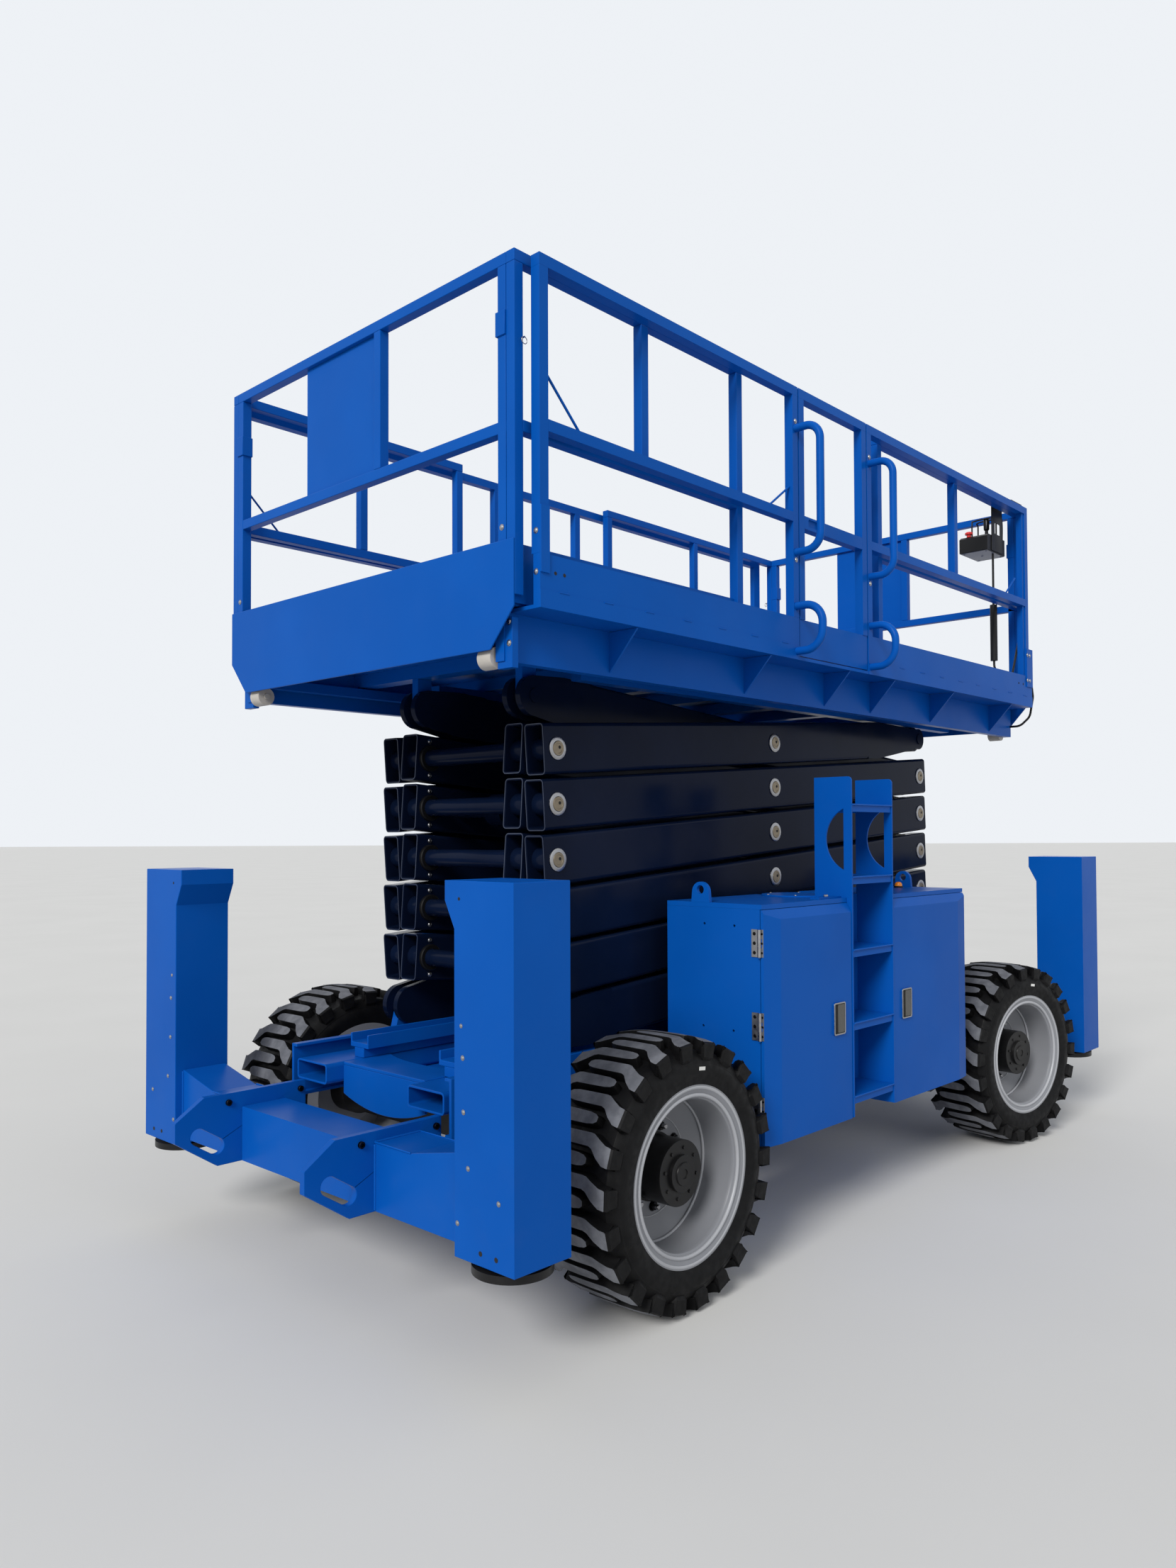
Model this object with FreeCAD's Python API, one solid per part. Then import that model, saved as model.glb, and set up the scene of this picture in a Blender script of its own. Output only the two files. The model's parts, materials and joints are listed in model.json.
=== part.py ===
import FreeCAD, Part
import math
import os

# Rough-terrain scissor lift with outriggers, stowed. Millimetres, +Z up, +X towards the steered end,
# +Y to the left. The origin is on the ground, under the middle of the machine.

V = FreeCAD.Vector
ALONG, ACROSS, UP = V(1, 0, 0), V(0, 1, 0), V(0, 0, 1)

# Fits shared by every piece
WELD = 0.3                # root gap between members of one welded frame
SLIP = 5.0                # clearance between pieces that slide past each other
RUN = 0.08                # radial clearance of a pin in its bore
LOOSE = 0.5               # radial clearance of a pin in the eye where a loop of links is closed

# Wheels and steering
WHEEL_BASE = 2850.0
TYRE_R = 452.0
TYRE_WIDTH = 340.0
TYRE_OUT = 1085.0         # outer side wall to the centre line
RIM_R = 300.0
RIM_T = 12.0
BEAD_R = 262.0
BEAD_IN = 26.0            # how far the bead seat stands in from the side walls
RIM_EDGE = 12.0           # how far the rim's lip stands in from the side walls
DISC_R = 165.0            # the flat of the wheel disc
DISC_S = -20.0            # the flat's outer face, outward from the wheel's middle
DISC_RISE = 30.0          # the disc's cone from its flat to the barrel
HUB_R = 108.0
HUB_OUT = 105.0           # the hub's face, outward from the wheel's middle
CAP_R = 60.0
CAP_T = 13.0
STUB_R = 55.0
STUB_OUT = -20.0          # the stub axle's end, outward from the wheel's middle
KINGPIN_Y = 660.0
KINGPIN_R = 24.0
YOKE_IN = 62.0            # the axle beam's end to the kingpin
STEER_ARM = 200.0
STEER_REST = -9.6         # degrees, the wheels as they are parked
WHEEL_X = WHEEL_BASE / 2
AXLE_Z = TYRE_R
AXLE_H = 120.0

# Outrigger columns and the end frames
COL_CLEAR = 161.0         # tyre to column
COL_W = 224.0
COL_X0 = WHEEL_X + TYRE_R + COL_CLEAR
COL_X1 = COL_X0 + COL_W
COL_Y0 = 855.0
COL_Y1 = 1109.0
COL_HOOD_Y = 812.0
COL_Z0 = AXLE_Z - 88.0
COL_Z1 = COL_Z0 + 1086.0
HOOD_Z0 = COL_Z1 - 141.0
HOOD_Z1 = COL_Z1 - 59.0
COL_WALL = 6.0
PAD_R = 120.0
PAD_T = 24.0
LEG_R = 45.0
LEG_LEN = 620.0
LEG_OUT = 10.0            # the leg's end below the column when drawn in
BARREL_WALL = 12.0
BEAM_X0 = COL_X0 + 12.0
BEAM_X1 = COL_X1 - 32.0
BEAM_Z0 = AXLE_Z - 64.0
BEAM_Z1 = AXLE_Z + 154.0
GUSSET_Y = 610.0
GUSSET_Z = BEAM_Z1 + 50.0
TIE_Y = 412.0
TIE_T = 25.0
TIE_SLOT_R = 30.0         # the lashing slot's half width

# Chassis
CHASSIS_END = COL_X0 - 71.0
TIE_X0 = CHASSIS_END - 7.0
TIE_X1 = COL_X1 + 226.0
POCKET_Y = 347.0
POCKET_W = 200.0
POCKET_H = 78.0
POCKET_Z0 = AXLE_Z + 190.0
POCKET_Z1 = POCKET_Z0 + POCKET_H
POCKET_WALL = 8.0
RAIL_Y = 485.0            # outer face of the main rails
RAIL_T = 34.0
RAIL_WEB = 12.0
RAIL_Z0 = AXLE_Z + 118.0
RAIL_Z1 = AXLE_Z + 320.0
CROSS_IN = 77.0           # the end cross members' outer face to the chassis' end
CROSS_T = 12.0
TRACK_IN = 167.0          # the roller tracks' ends to the chassis' end
TRACK_Y0 = 215.0          # the lower roller track, a channel with raised sides
TRACK_Y1 = 330.0
TRACK_WALL = 8.0
TRACK_FLOOR = 19.0
TRACK_RISE = 34.0
TRACK_BAR_W = 60.0

# Scissor stack
STAGES = 6
PIN_REAR_X = -1460.0
PIN_FRONT_X = 1369.0
PIN_Z0 = POCKET_Z1 + 156.0
PITCH = 204.9             # height of one stage when stowed
ARM_H = 190.0
ARM_W = 99.0
ARM_WALL = 8.0
ARM_ROUND = 16.0
ARM_OVER = 67.0           # how far a tube runs past its end pins
OUTER_Y = 431.5
INNER_Y = 314.0
PIN_R = 28.0
PIN_PROUD = 6.0
BOSS_R = 44.0
CROSS_R = 35.0
LOW_ROLLER_R = 99.7
LOW_ROLLER_W = 80.0
TOP_ROLLER_R = 65.7
TOP_ROLLER_W = 50.0
EAR_T = 26.0
EAR_R = 56.0
EAR_CUT = 500.0           # length of the narrow ear before a roller
FORK_R = 77.0             # round of the ears at a fixed bracket
FORK_CUT = 260.0          # how far a tube stops short of a forked end
TRACK_Z = PIN_Z0 - LOW_ROLLER_R - WELD

# Lift cylinders
CYL_TAIL = 1250.0         # tail pin, from the middle of its arm towards the rear
CYL_HEAD = 950.0          # rod pin, from the middle of its arm towards the front
CYL_BARREL_R = 92.0
CYL_ROD_R = 58.0
CYL_PIN_R = 30.0
CYL_EYE_R = 66.0
CYL_EYE_HALF = 45.0
CYL_GLAND = 400.0         # the barrel's mouth to the rod pin when drawn in
CYL_GLAND_LEN = 60.0
CYL_PISTON = 560.0        # the rod's inner end to the tail pin

# Cabinets
CAB_GAP = 37.0            # rear tyre to cabinet
CAB_SWING = 240.0         # room for the steered tyre
CAB_X0 = -(WHEEL_X - TYRE_R - CAB_GAP)
CAB_X1 = WHEEL_X - TYRE_R - CAB_SWING
CAB_Y0 = 570.0
CAB_Y1 = 1008.0           # the split between a cabinet and its doors
CAB_Z0 = AXLE_Z - 18.0
CAB_H = 888.0
CAB_Z1 = CAB_Z0 + CAB_H
CAB_WALL = 6.0
ROOF_T = 18.0             # height of the roof's folded edge
ROOF_OUT = 8.0            # how far the roof stands over the doors
DOOR_Y = 1037.0           # outer face of the doors
DOOR_GAP = 3.0
DOOR_SHEET = 4.0
DOOR_EDGE_Y = 1024.0      # outer face at a door's hinge edge
DOOR_STRIP = 94.0         # width of the slanted strip beside the hinge edge
DOOR_BEVEL_H = 37.0
DOOR_BEVEL_Y = 21.0
LATCH_W = 85.0
LATCH_H = 128.0
LATCH_Z0 = CAB_Z0 + 350.0
LATCH_T = 3.0
LATCH_IN = 60.0           # latch to the door's free edge
HINGE_Z = (CAB_Z0 + 132.0, CAB_Z0 + 440.0, CAB_Z0 + 746.0)
HINGE_HALF = 51.0
HINGE_OUT = 7.0           # how far the hinge pins stand off a cabinet's end wall
HINGE_PIN_R = 4.0
HINGE_LEAF = 36.0
# Vent holes in the end walls. Columns: place across, height over the cabinet's floor
END_HOLES = ((753.0, 807.0), (893.0, 805.0), (745.0, 416.0), (886.0, 412.0))
END_HOLE_R = 5.0
EYE_Y0 = 690.0            # the lifting eyes on the roofs
EYE_Y1 = 777.0
EYE_H = 78.0
EYE_T = 16.0
EYE_HOLE_R = 17.0

# Boarding ladder
LADDER_X0 = -329.0
LADDER_X1 = 14.0
LADDER_RISE = 495.0       # above the cabinets' roofs
LADDER_FACE = 1040.0      # the stringers' outer edge
LADDER_BACK = 866.0
LADDER_PLATE = 8.0
LADDER_CORNER = 18.0
LADDER_RUNGS = 5
RUNG_TOP0 = CAB_Z0 + 86.0
RUNG_STEP = 296.2
RUNG_H = 32.0
RUNG_SHEET = 4.0
GRIP_Z0 = LADDER_RISE + CAB_Z1 - 383.0
GRIP_H = 252.0
GRIP_IN = 37.0            # the D-shaped hand hole's straight side to the outer edge
GRIP_DEEP = 83.0

# Platform
DECK_X0 = -1967.0
DECK_X1 = 1861.0
DECK_Y = 915.0
FLOOR_Z = PIN_Z0 + PITCH * STAGES + 191.6
FLOOR_T = 12.0
SKIRT_T = 30.0
SKIRT_H = 170.0
SKIRT_Z0 = FLOOR_Z - FLOOR_T
SKIRT_Z1 = SKIRT_Z0 + SKIRT_H
SIDE_BEAM_Y = 780.0
SIDE_BEAM_T = 40.0
SIDE_BEAM_Z0 = FLOOR_Z - 167.0
BEAM_PAST = 28.0          # the side beams run this far past the skirts
RUNNER_Z = FLOOR_Z - 113.0   # underside of the rails that the extensions slide on
RUNNER_H = 40.0
RUNNER_Y = 700.0
DECK_ROLLER_R = 36.0
TUBE = 38.0
RAIL_TOP_Z = FLOOR_Z + 1099.0
RAIL_MID_Z = FLOOR_Z + 583.0
RAIL_Y_MID = DECK_Y - SKIRT_T / 2 - 4.0   # the main rails' middle plane
FRONT_POST_IN = 40.0      # the front post to the skirt's end
FRONT_POST_W = 62.0
FOOT_H = 210.0            # the bolted foot plates of the end posts
GATE_X0 = -500.0
GATE_X1 = 40.0
GATE_CLEAR = 8.0
GATE_HINGES = (RAIL_MID_Z - 220.0, RAIL_TOP_Z - 226.0)
GATE_PIN_R = 4.0
HANDLE_R = 16.0
# Columns: height of the upper end, of the lower end, how far it stands out, bend radius
HANDLES = ((RAIL_TOP_Z - 174.0, RAIL_MID_Z - 162.0, 115.0, 66.0),
           (FLOOR_Z + 203.0, FLOOR_Z + 21.0, 120.0, 78.0))

# Deck extensions
EXT_Y = 856.0
EXT_TOP_Z = RAIL_TOP_Z + 15.0
EXT_PLATE_T = 6.0
EXT_PLATE_GAP = 52.0
EXT_PLATE_CUT = 110.0
EXT_FLOOR_T = 25.0
EXT_REAR_IN = -810.0
EXT_FRONT_IN = 250.0

# Platform control box and its cable
BOX_X0 = 1560.0
BOX_X1 = 1790.0
BOX_Y0 = 640.0
BOX_Y1 = 800.0
BOX_Z0 = RAIL_TOP_Z - 256.0
BOX_Z1 = BOX_Z0 + 90.0
BRACKET_X0 = 1610.0
BRACKET_X1 = 1750.0
BRACKET_T = 4.0
CABLE_R = 6.0
SLEEVE_R = 19.0
SLEEVE_Z0 = FLOOR_Z + 243.0
SLEEVE_Z1 = FLOOR_Z + 553.0
# The cable's corners and bend radii: down from the box, behind the toe board, up past the front post,
# round the skirt's end and under the deck. Heights are above the floor, places across are outward.
CABLE = ((1665, 785, 843, 0), (1665, 785, 208, 40), (1600, 868, 103, 32), (1580, 868, 38, 32), (1650, 868, 38, 32),
         (1806, 868, 371, 40), (1848, 874, 415, 24), (1856, 897, 303, 60), (1884, 900, 153, 60), (1914, 899, 53, 60),
         (1914, 880, -57, 60), (1880, 838, -109, 45), (1880, SIDE_BEAM_Y + WELD, -109, 0))

PARTS = {}


def keep(name, *solids):
    """Files a node's solids under its name."""
    PARTS.setdefault(name, []).extend(solids)


def box(x0, x1, y0, y1, z0, z1):
    """A block between two corners, given in any order."""
    lo = V(min(x0, x1), min(y0, y1), min(z0, z1))
    return Part.makeBox(abs(x1 - x0), abs(y1 - y0), abs(z1 - z0), lo)


def prism(plane, outline, start, end):
    """An outline drawn out along the third axis. A point of four numbers is reached by an arc through the last two."""
    place = {"xz": lambda a, b: V(a, start, b),
             "yz": lambda a, b: V(start, a, b),
             "xy": lambda a, b: V(a, b, start)}[plane]
    along = {"xz": ACROSS, "yz": ALONG, "xy": UP}[plane]
    edges = []
    last = outline[-1]
    for point in outline:
        a, b = place(*last[:2]), place(*point[:2])
        if len(point) == 4:
            edges.append(Part.Arc(a, place(*point[2:]), b).toShape())
        else:
            edges.append(Part.makeLine(a, b))
        last = point
    return Part.Face(Part.Wire(edges)).extrude(along * (end - start))


def rod(start, end, radius):
    """A round bar between two points."""
    a, b = V(*start), V(*end)
    return Part.makeCylinder(radius, (b - a).Length, a, b - a)


def ring(start, end, outer, inner):
    """A tube between two points."""
    return rod(start, end, outer).cut(rod(start, end, inner))


def bent_bar(points, radius):
    """A round bar along straight runs. Columns: x, y, z and the bend radius at that corner."""
    at = V(*points[0][:3])
    edges = []
    for before, point, after in zip(points, points[1:], points[2:]):
        corner, bend = V(*point[:3]), point[3]
        a, b = V(*before[:3]) - corner, V(*after[:3]) - corner
        a.normalize()
        b.normalize()
        half = math.acos(a.dot(b)) / 2
        middle = a + b
        middle.normalize()
        first, last = corner + a * (bend / math.tan(half)), corner + b * (bend / math.tan(half))
        edges.append(Part.makeLine(at, first))
        edges.append(Part.Arc(first, corner + middle * (bend / math.sin(half) - bend), last).toShape())
        at = last
    edges.append(Part.makeLine(at, V(*points[-1][:3])))
    start = V(*points[0][:3])
    section = Part.Wire(Part.makeCircle(radius, start, V(*points[1][:3]) - start))
    return Part.Wire(edges).makePipeShell([section], True, False)


def mirrored(shape):
    """The same shape on the other side of the machine."""
    return shape.mirror(V(0, 0, 0), ACROSS)


def turned_back(shape):
    """The same shape at the other end of the machine."""
    return shape.mirror(V(0, 0, 0), ALONG)


def rounded(shape, radius, along):
    """Rounds the edges that run along one direction."""
    edges = []
    for e in shape.Edges:
        if e.Length > 1 and abs(abs(e.tangentAt(e.FirstParameter).dot(along)) - 1) < 1e-6:
            edges.append(e)
    return shape.makeFillet(radius, edges)


def hollow_bar(x0, x1, y, z, width, height, wall, radius):
    """A rectangular tube along X with rounded corners, open at both ends."""
    out = rounded(box(x0, x1, y - width / 2, y + width / 2, z - height / 2, z + height / 2), radius, ALONG)
    w, h = width / 2 - wall, height / 2 - wall
    hole = rounded(box(x0 - 1, x1 + 1, y - w, y + w, z - h, z + h), radius - wall, ALONG)
    return out.cut(hole)


# Derived sizes of the stack
ARM_SPAN = PIN_FRONT_X - PIN_REAR_X
ARM_TILT = math.degrees(math.atan2(PITCH, ARM_SPAN))
ARM_LEN = math.hypot(ARM_SPAN, PITCH)
MID_X = (PIN_FRONT_X + PIN_REAR_X) / 2


def pin_z(k):
    """Height of the end pins above stage k."""
    return PIN_Z0 + PITCH * k


def middle_z(k):
    """Height of the centre pin of stage k, from 1."""
    return PIN_Z0 + PITCH * (k - 0.5)


def tilted(shape, k, rising):
    """Swings an arm drawn level about the origin to its place in stage k."""
    shape.rotate(V(0, 0, 0), V(0, -1, 0), ARM_TILT if rising else -ARM_TILT)
    shape.translate(V(MID_X, 0, middle_z(k)))
    return shape


def ear_plate(y0, y1):
    """The narrow ear that carries a roller at an arm's front end, drawn level about the origin."""
    tip = ARM_LEN / 2
    half = ARM_H / 2
    root = tip - EAR_CUT - 60
    knee = tip - EAR_CUT + 60
    outline = [(root, -half + 1), (knee, -half + 1), (tip - 20, -EAR_R + 4), (tip - 20, EAR_R - 4),
               (knee, half - 1), (root, half - 1)]
    plate = prism("xz", outline, y0, y1)
    return plate.fuse(rod((tip, y0, 0), (tip, y1, 0), EAR_R))


def fork(y):
    """The two ears at an arm's rear end that straddle a fixed bracket, with their pin, drawn level."""
    tip = -ARM_LEN / 2
    half = ARM_H / 2 - 1
    outline = [(tip, -FORK_R), (tip + 150, -half), (tip + 300, -half), (tip + 300, half), (tip + 150, half),
               (tip, FORK_R)]
    pieces = rod((tip, y - ARM_W / 2, 0), (tip, y + ARM_W / 2 + PIN_PROUD, 0), PIN_R)
    for start in (y - ARM_W / 2, y + ARM_W / 2 - EAR_T):
        ear = prism("xz", outline, start, start + EAR_T)
        pieces = pieces.fuse(ear.fuse(rod((tip, start, 0), (tip, start + EAR_T, 0), FORK_R)))
    return pieces


def arm_tube(y, front_cut=0.0, rear_cut=0.0):
    """One tube of an arm, drawn level about the origin."""
    half = ARM_LEN / 2 + ARM_OVER
    return hollow_bar(-half + rear_cut, half - front_cut, y, 0, ARM_W, ARM_H, ARM_WALL, ARM_ROUND)


def outer_arm(k):
    """The left outer arm of stage k with the pins that it carries."""
    half = ARM_LEN / 2
    y0, y1 = OUTER_Y - ARM_W / 2, OUTER_Y + ARM_W / 2
    inside = INNER_Y - ARM_W / 2
    last, first = k == STAGES, k == 1
    tube = arm_tube(OUTER_Y, EAR_CUT + ARM_OVER if last else 0, FORK_CUT if first else 0)
    pins = [0.0]
    if not first:
        pins.append(-half)
    if not last:
        pins.append(half)
    for x in pins:
        tube = tube.fuse(rod((x, inside + 1, 0), (x, y1 + PIN_PROUD, 0), PIN_R))
        tube = tube.fuse(rod((x, y0, 0), (x, y1, 0), BOSS_R))
    if first:
        tube = tube.fuse(fork(OUTER_Y))
    if last:
        roller = y1 - EAR_T - SLIP - TOP_ROLLER_W
        wheel = rod((half, roller, 0), (half, roller + TOP_ROLLER_W, 0), TOP_ROLLER_R)
        pin = rod((half, roller, 0), (half, y1 + PIN_PROUD, 0), PIN_R)
        tube = tube.fuse(ear_plate(y1 - EAR_T, y1)).fuse(wheel).fuse(pin)
    return tilted(tube, k, True)


def inner_arm(k):
    """The left inner arm of stage k, bored for the pins of the outer arms."""
    half = ARM_LEN / 2
    y0, y1 = INNER_Y - ARM_W / 2, INNER_Y + ARM_W / 2
    last, first = k == STAGES, k == 1
    tube = arm_tube(INNER_Y, EAR_CUT + ARM_OVER if first else 0, FORK_CUT if last else 0)
    bores = [0.0]
    if not last:
        bores.append(-half)
    if not first:
        bores.append(half)
    for x in bores:
        tube = tube.fuse(rod((x, y0, 0), (x, y1, 0), BOSS_R))
        tube = tube.cut(rod((x, y0 - 1, 0), (x, y1 + 1, 0), PIN_R + (RUN if x < half else LOOSE)))
    if last:
        tube = tube.fuse(fork(INNER_Y))
    if first:
        roller = (TRACK_Y0 + TRACK_Y1 - LOW_ROLLER_W) / 2
        wheel = rod((half, roller, 0), (half, roller + LOW_ROLLER_W, 0), LOW_ROLLER_R)
        pin = rod((half, roller, 0), (half, y1 + PIN_PROUD, 0), PIN_R)
        tube = tube.fuse(ear_plate(y1 - EAR_T, y1)).fuse(wheel).fuse(pin)
    return tilted(tube, k, False)


def cylinder_point(k, along):
    """A point on the inner arm of stage k, so far from its middle, the rear being negative."""
    tilt = math.radians(ARM_TILT)
    return MID_X + along * math.cos(tilt), middle_z(k) - along * math.sin(tilt)


def scissor_stack():
    for k in range(1, STAGES + 1):
        left = outer_arm(k)
        keep(f"outer_arms_{k}", left, mirrored(left))
        left = inner_arm(k)
        inside = INNER_Y - ARM_W / 2 - WELD
        pieces = [left, mirrored(left)]
        if k < STAGES:
            pieces.append(rod((PIN_REAR_X, -inside, pin_z(k)), (PIN_REAR_X, inside, pin_z(k)), CROSS_R))
        if k in (2, 4):
            x, z = cylinder_point(k, -CYL_TAIL)
            pieces.append(rod((x, -inside, z), (x, inside, z), CYL_PIN_R))
        keep(f"inner_arms_{k}", *pieces)


def lift_cylinder(name, low, high):
    """A lift cylinder from the inner arms of stage low to those of stage high."""
    ax, az = cylinder_point(low, -CYL_TAIL)
    bx, bz = cylinder_point(high, CYL_HEAD)
    length = math.hypot(bx - ax, bz - az)
    lift = math.degrees(math.atan2(bz - az, bx - ax))
    inside = INNER_Y - ARM_W / 2
    gland = length - CYL_GLAND
    w, e = CYL_EYE_HALF, CYL_EYE_R
    barrel = rod((75, 0, 0), (gland, 0, 0), CYL_BARREL_R)
    barrel = barrel.fuse(prism("xz", [(0, -e), (90, -e), (90, e), (0, e)], -w, w))
    barrel = barrel.fuse(rod((0, -w, 0), (0, w, 0), e))
    barrel = barrel.fuse(rod((gland - CYL_GLAND_LEN, 0, 0), (gland, 0, 0), CYL_BARREL_R + 8))
    barrel = barrel.cut(rod((0, -w - 5, 0), (0, w + 5, 0), CYL_PIN_R + RUN))
    barrel = barrel.cut(rod((CYL_PISTON - 40, 0, 0), (gland + 1, 0, 0), CYL_ROD_R + RUN))
    shaft = rod((CYL_PISTON, 0, 0), (length - 40, 0, 0), CYL_ROD_R)
    shaft = shaft.fuse(rod((length, -w, 0), (length, w, 0), e))
    shaft = shaft.fuse(rod((length, -inside + 9, 0), (length, inside - 9, 0), CYL_PIN_R))
    for shape in (barrel, shaft):
        shape.rotate(V(0, 0, 0), V(0, -1, 0), lift)
        shape.translate(V(ax, 0, az))
    keep(f"{name}_barrel", barrel)
    keep(f"{name}_rod", shaft)


def chassis():
    """The fork pockets, the channel rails, the roller tracks, the arm brackets and the cross members."""
    zc, end = (POCKET_Z0 + POCKET_Z1) / 2, CHASSIS_END
    pocket = hollow_bar(-end, end, POCKET_Y, zc, POCKET_W, POCKET_H, POCKET_WALL, 2 * POCKET_WALL)
    keep("fork_pockets", pocket, mirrored(pocket))
    rail_in, web, t = RAIL_Y - RAIL_T, RAIL_Y - RAIL_WEB, RAIL_WEB
    channel = [(RAIL_Y, RAIL_Z0), (RAIL_Y, RAIL_Z1), (rail_in, RAIL_Z1), (rail_in, RAIL_Z1 - t),
               (web, RAIL_Z1 - t), (web, RAIL_Z0 + t), (rail_in, RAIL_Z0 + t), (rail_in, RAIL_Z0)]
    rail = prism("yz", channel, -end, end)
    t0, t1, top, low = TRACK_Y0, TRACK_Y1, TRACK_Z + TRACK_RISE, TRACK_Z - TRACK_FLOOR
    channel = [(t0, low), (t1, low), (t1, top), (t1 - TRACK_WALL, top), (t1 - TRACK_WALL, TRACK_Z),
               (t0 + TRACK_WALL, TRACK_Z), (t0 + TRACK_WALL, top), (t0, top)]
    track_end = end - TRACK_IN
    track = prism("yz", channel, -track_end, track_end)
    middle = (t0 + t1) / 2 + 2.5
    half = TRACK_BAR_W / 2
    bar = box(-track_end, track_end, middle - half, middle + half, POCKET_Z1 + WELD, low - WELD)
    b0 = OUTER_Y - ARM_W / 2 + EAR_T + SLIP
    b1 = OUTER_Y + ARM_W / 2 - EAR_T - SLIP
    foot, x = POCKET_Z1 + WELD, PIN_REAR_X
    tab = prism("xz", [(x - 75, foot), (x + 75, foot), (x + 36, PIN_Z0), (x - 36, PIN_Z0)], b0, b1)
    tab = tab.fuse(rod((x, b0, PIN_Z0), (x, b1, PIN_Z0), 40))
    tab = tab.cut(rod((x, b0 - 1, PIN_Z0), (x, b1 + 1, PIN_Z0), PIN_R + RUN))
    for piece in (rail, track, bar, tab):
        keep("chassis_frame", piece, mirrored(piece))
    span = POCKET_Y - POCKET_W / 2 - WELD
    out = end - CROSS_IN
    under = POCKET_Z1 - CROSS_T - WELD
    for s in (-1, 1):
        arch = [(s * out, -span), (s * out, span), (s * (out - 218), span), (s * (out - 218), -span, s * (out - 165), 0)]
        keep("chassis_frame", prism("xy", arch, POCKET_Z1 - CROSS_T, POCKET_Z1))
        face = [(-span, under), (-span, RAIL_Z0 + 30), (span, RAIL_Z0 + 30, 0, RAIL_Z0 - 14), (span, under)]
        keep("chassis_frame", prism("yz", face, s * (out - CROSS_T), s * out))
    for x in (-900, -300, 300, 900):
        keep("chassis_frame", box(x - 40, x + 40, -span, span, POCKET_Z0 + 4, POCKET_Z1 - 4))
    for x in (-WHEEL_X, WHEEL_X):
        keep("chassis_frame", box(x - 120, x + 120, -rail_in + WELD, rail_in - WELD, RAIL_Z0, POCKET_Z0 - WELD))


def outrigger_column():
    """The left rear column, as an open-bottomed box of sheet with its hooded top."""
    outline = [(COL_Y1, COL_Z0), (COL_Y1, COL_Z1), (COL_HOOD_Y, COL_Z1), (COL_HOOD_Y, HOOD_Z1),
               (COL_Y0, HOOD_Z0), (COL_Y0, COL_Z0)]
    out = prism("yz", outline, -COL_X1, -COL_X0)
    w = COL_WALL
    hole = [(COL_Y1 - w, COL_Z0 - 1), (COL_Y1 - w, COL_Z1 - w), (COL_HOOD_Y + w, COL_Z1 - w),
            (COL_HOOD_Y + w, HOOD_Z1), (COL_Y0 + w, HOOD_Z0), (COL_Y0 + w, COL_Z0 - 1)]
    return out.cut(prism("yz", hole, -COL_X1 + w, -COL_X0 - w))


def tie_plate():
    """The left rear tie plate with its slanting lashing slot."""
    top, x0, x1 = POCKET_Z0 - WELD, TIE_X0, TIE_X1
    y0, y1 = TIE_Y - TIE_T / 2, TIE_Y + TIE_T / 2
    outline = [(-x0, top), (-x1 + 109, top), (-x1, AXLE_Z + 116), (-x1, AXLE_Z + 45), (-x1 + 163, BEAM_Z0 - 1),
               (-x1 + 288, BEAM_Z0 - 1), (-x0, AXLE_Z + 48)]
    tie = prism("xz", outline, y0, y1)
    # The slot's two ends: distance in from the plate's end, and height over the axle
    ends = [(-x1 + 88, AXLE_Z + 53), (-x1 + 158, AXLE_Z + 8)]
    (ax, az), (bx, bz) = ends
    run = math.hypot(bx - ax, bz - az)
    nx, nz = (bz - az) / run * TIE_SLOT_R, -(bx - ax) / run * TIE_SLOT_R
    slot = prism("xz", [(ax - nx, az - nz), (ax + nx, az + nz), (bx + nx, bz + nz), (bx - nx, bz - nz)], y0 - 1, y1 + 1)
    for x, z in ends:
        slot = slot.fuse(rod((x, y0 - 1, z), (x, y1 + 1, z), TIE_SLOT_R))
    return tie.cut(slot)


def outrigger_frames():
    cx = (COL_X0 + COL_X1) / 2
    cy = (COL_Y0 + COL_Y1) / 2
    top = COL_Z1 - COL_WALL - WELD
    barrel = ring((-cx, cy, COL_Z0 + 60), (-cx, cy, top), LEG_R + BARREL_WALL, LEG_R + RUN)
    inside = TIE_Y - TIE_T / 2 - WELD
    beam = box(-BEAM_X1, -BEAM_X0, -inside, inside, BEAM_Z0, BEAM_Z1 - 20)
    root = TIE_Y + TIE_T / 2 + WELD
    tip = COL_Y0 - WELD
    arm = prism("yz", [(root, BEAM_Z0), (tip, BEAM_Z0), (tip, GUSSET_Z), (GUSSET_Y, BEAM_Z1), (root, BEAM_Z1)],
                -BEAM_X1, -BEAM_X0)
    foot_z = COL_Z0 - LEG_OUT
    leg = rod((-cx, cy, foot_z), (-cx, cy, foot_z + LEG_LEN), LEG_R)
    foot = leg.fuse(rod((-cx, cy, foot_z - PAD_T), (-cx, cy, foot_z), PAD_R))
    tie = tie_plate()
    keep("rear_tie_plates", tie, mirrored(tie))
    keep("front_tie_plates", turned_back(tie), mirrored(turned_back(tie)))
    for piece in (outrigger_column(), barrel, arm):
        keep("rear_outrigger_frame", piece, mirrored(piece))
        keep("front_outrigger_frame", turned_back(piece), mirrored(turned_back(piece)))
    keep("rear_outrigger_frame", beam)
    keep("front_outrigger_frame", turned_back(beam))
    keep("rear_left_outrigger_leg", foot)
    keep("rear_right_outrigger_leg", mirrored(foot))
    keep("front_left_outrigger_leg", turned_back(foot))
    keep("front_right_outrigger_leg", mirrored(turned_back(foot)))


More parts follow.
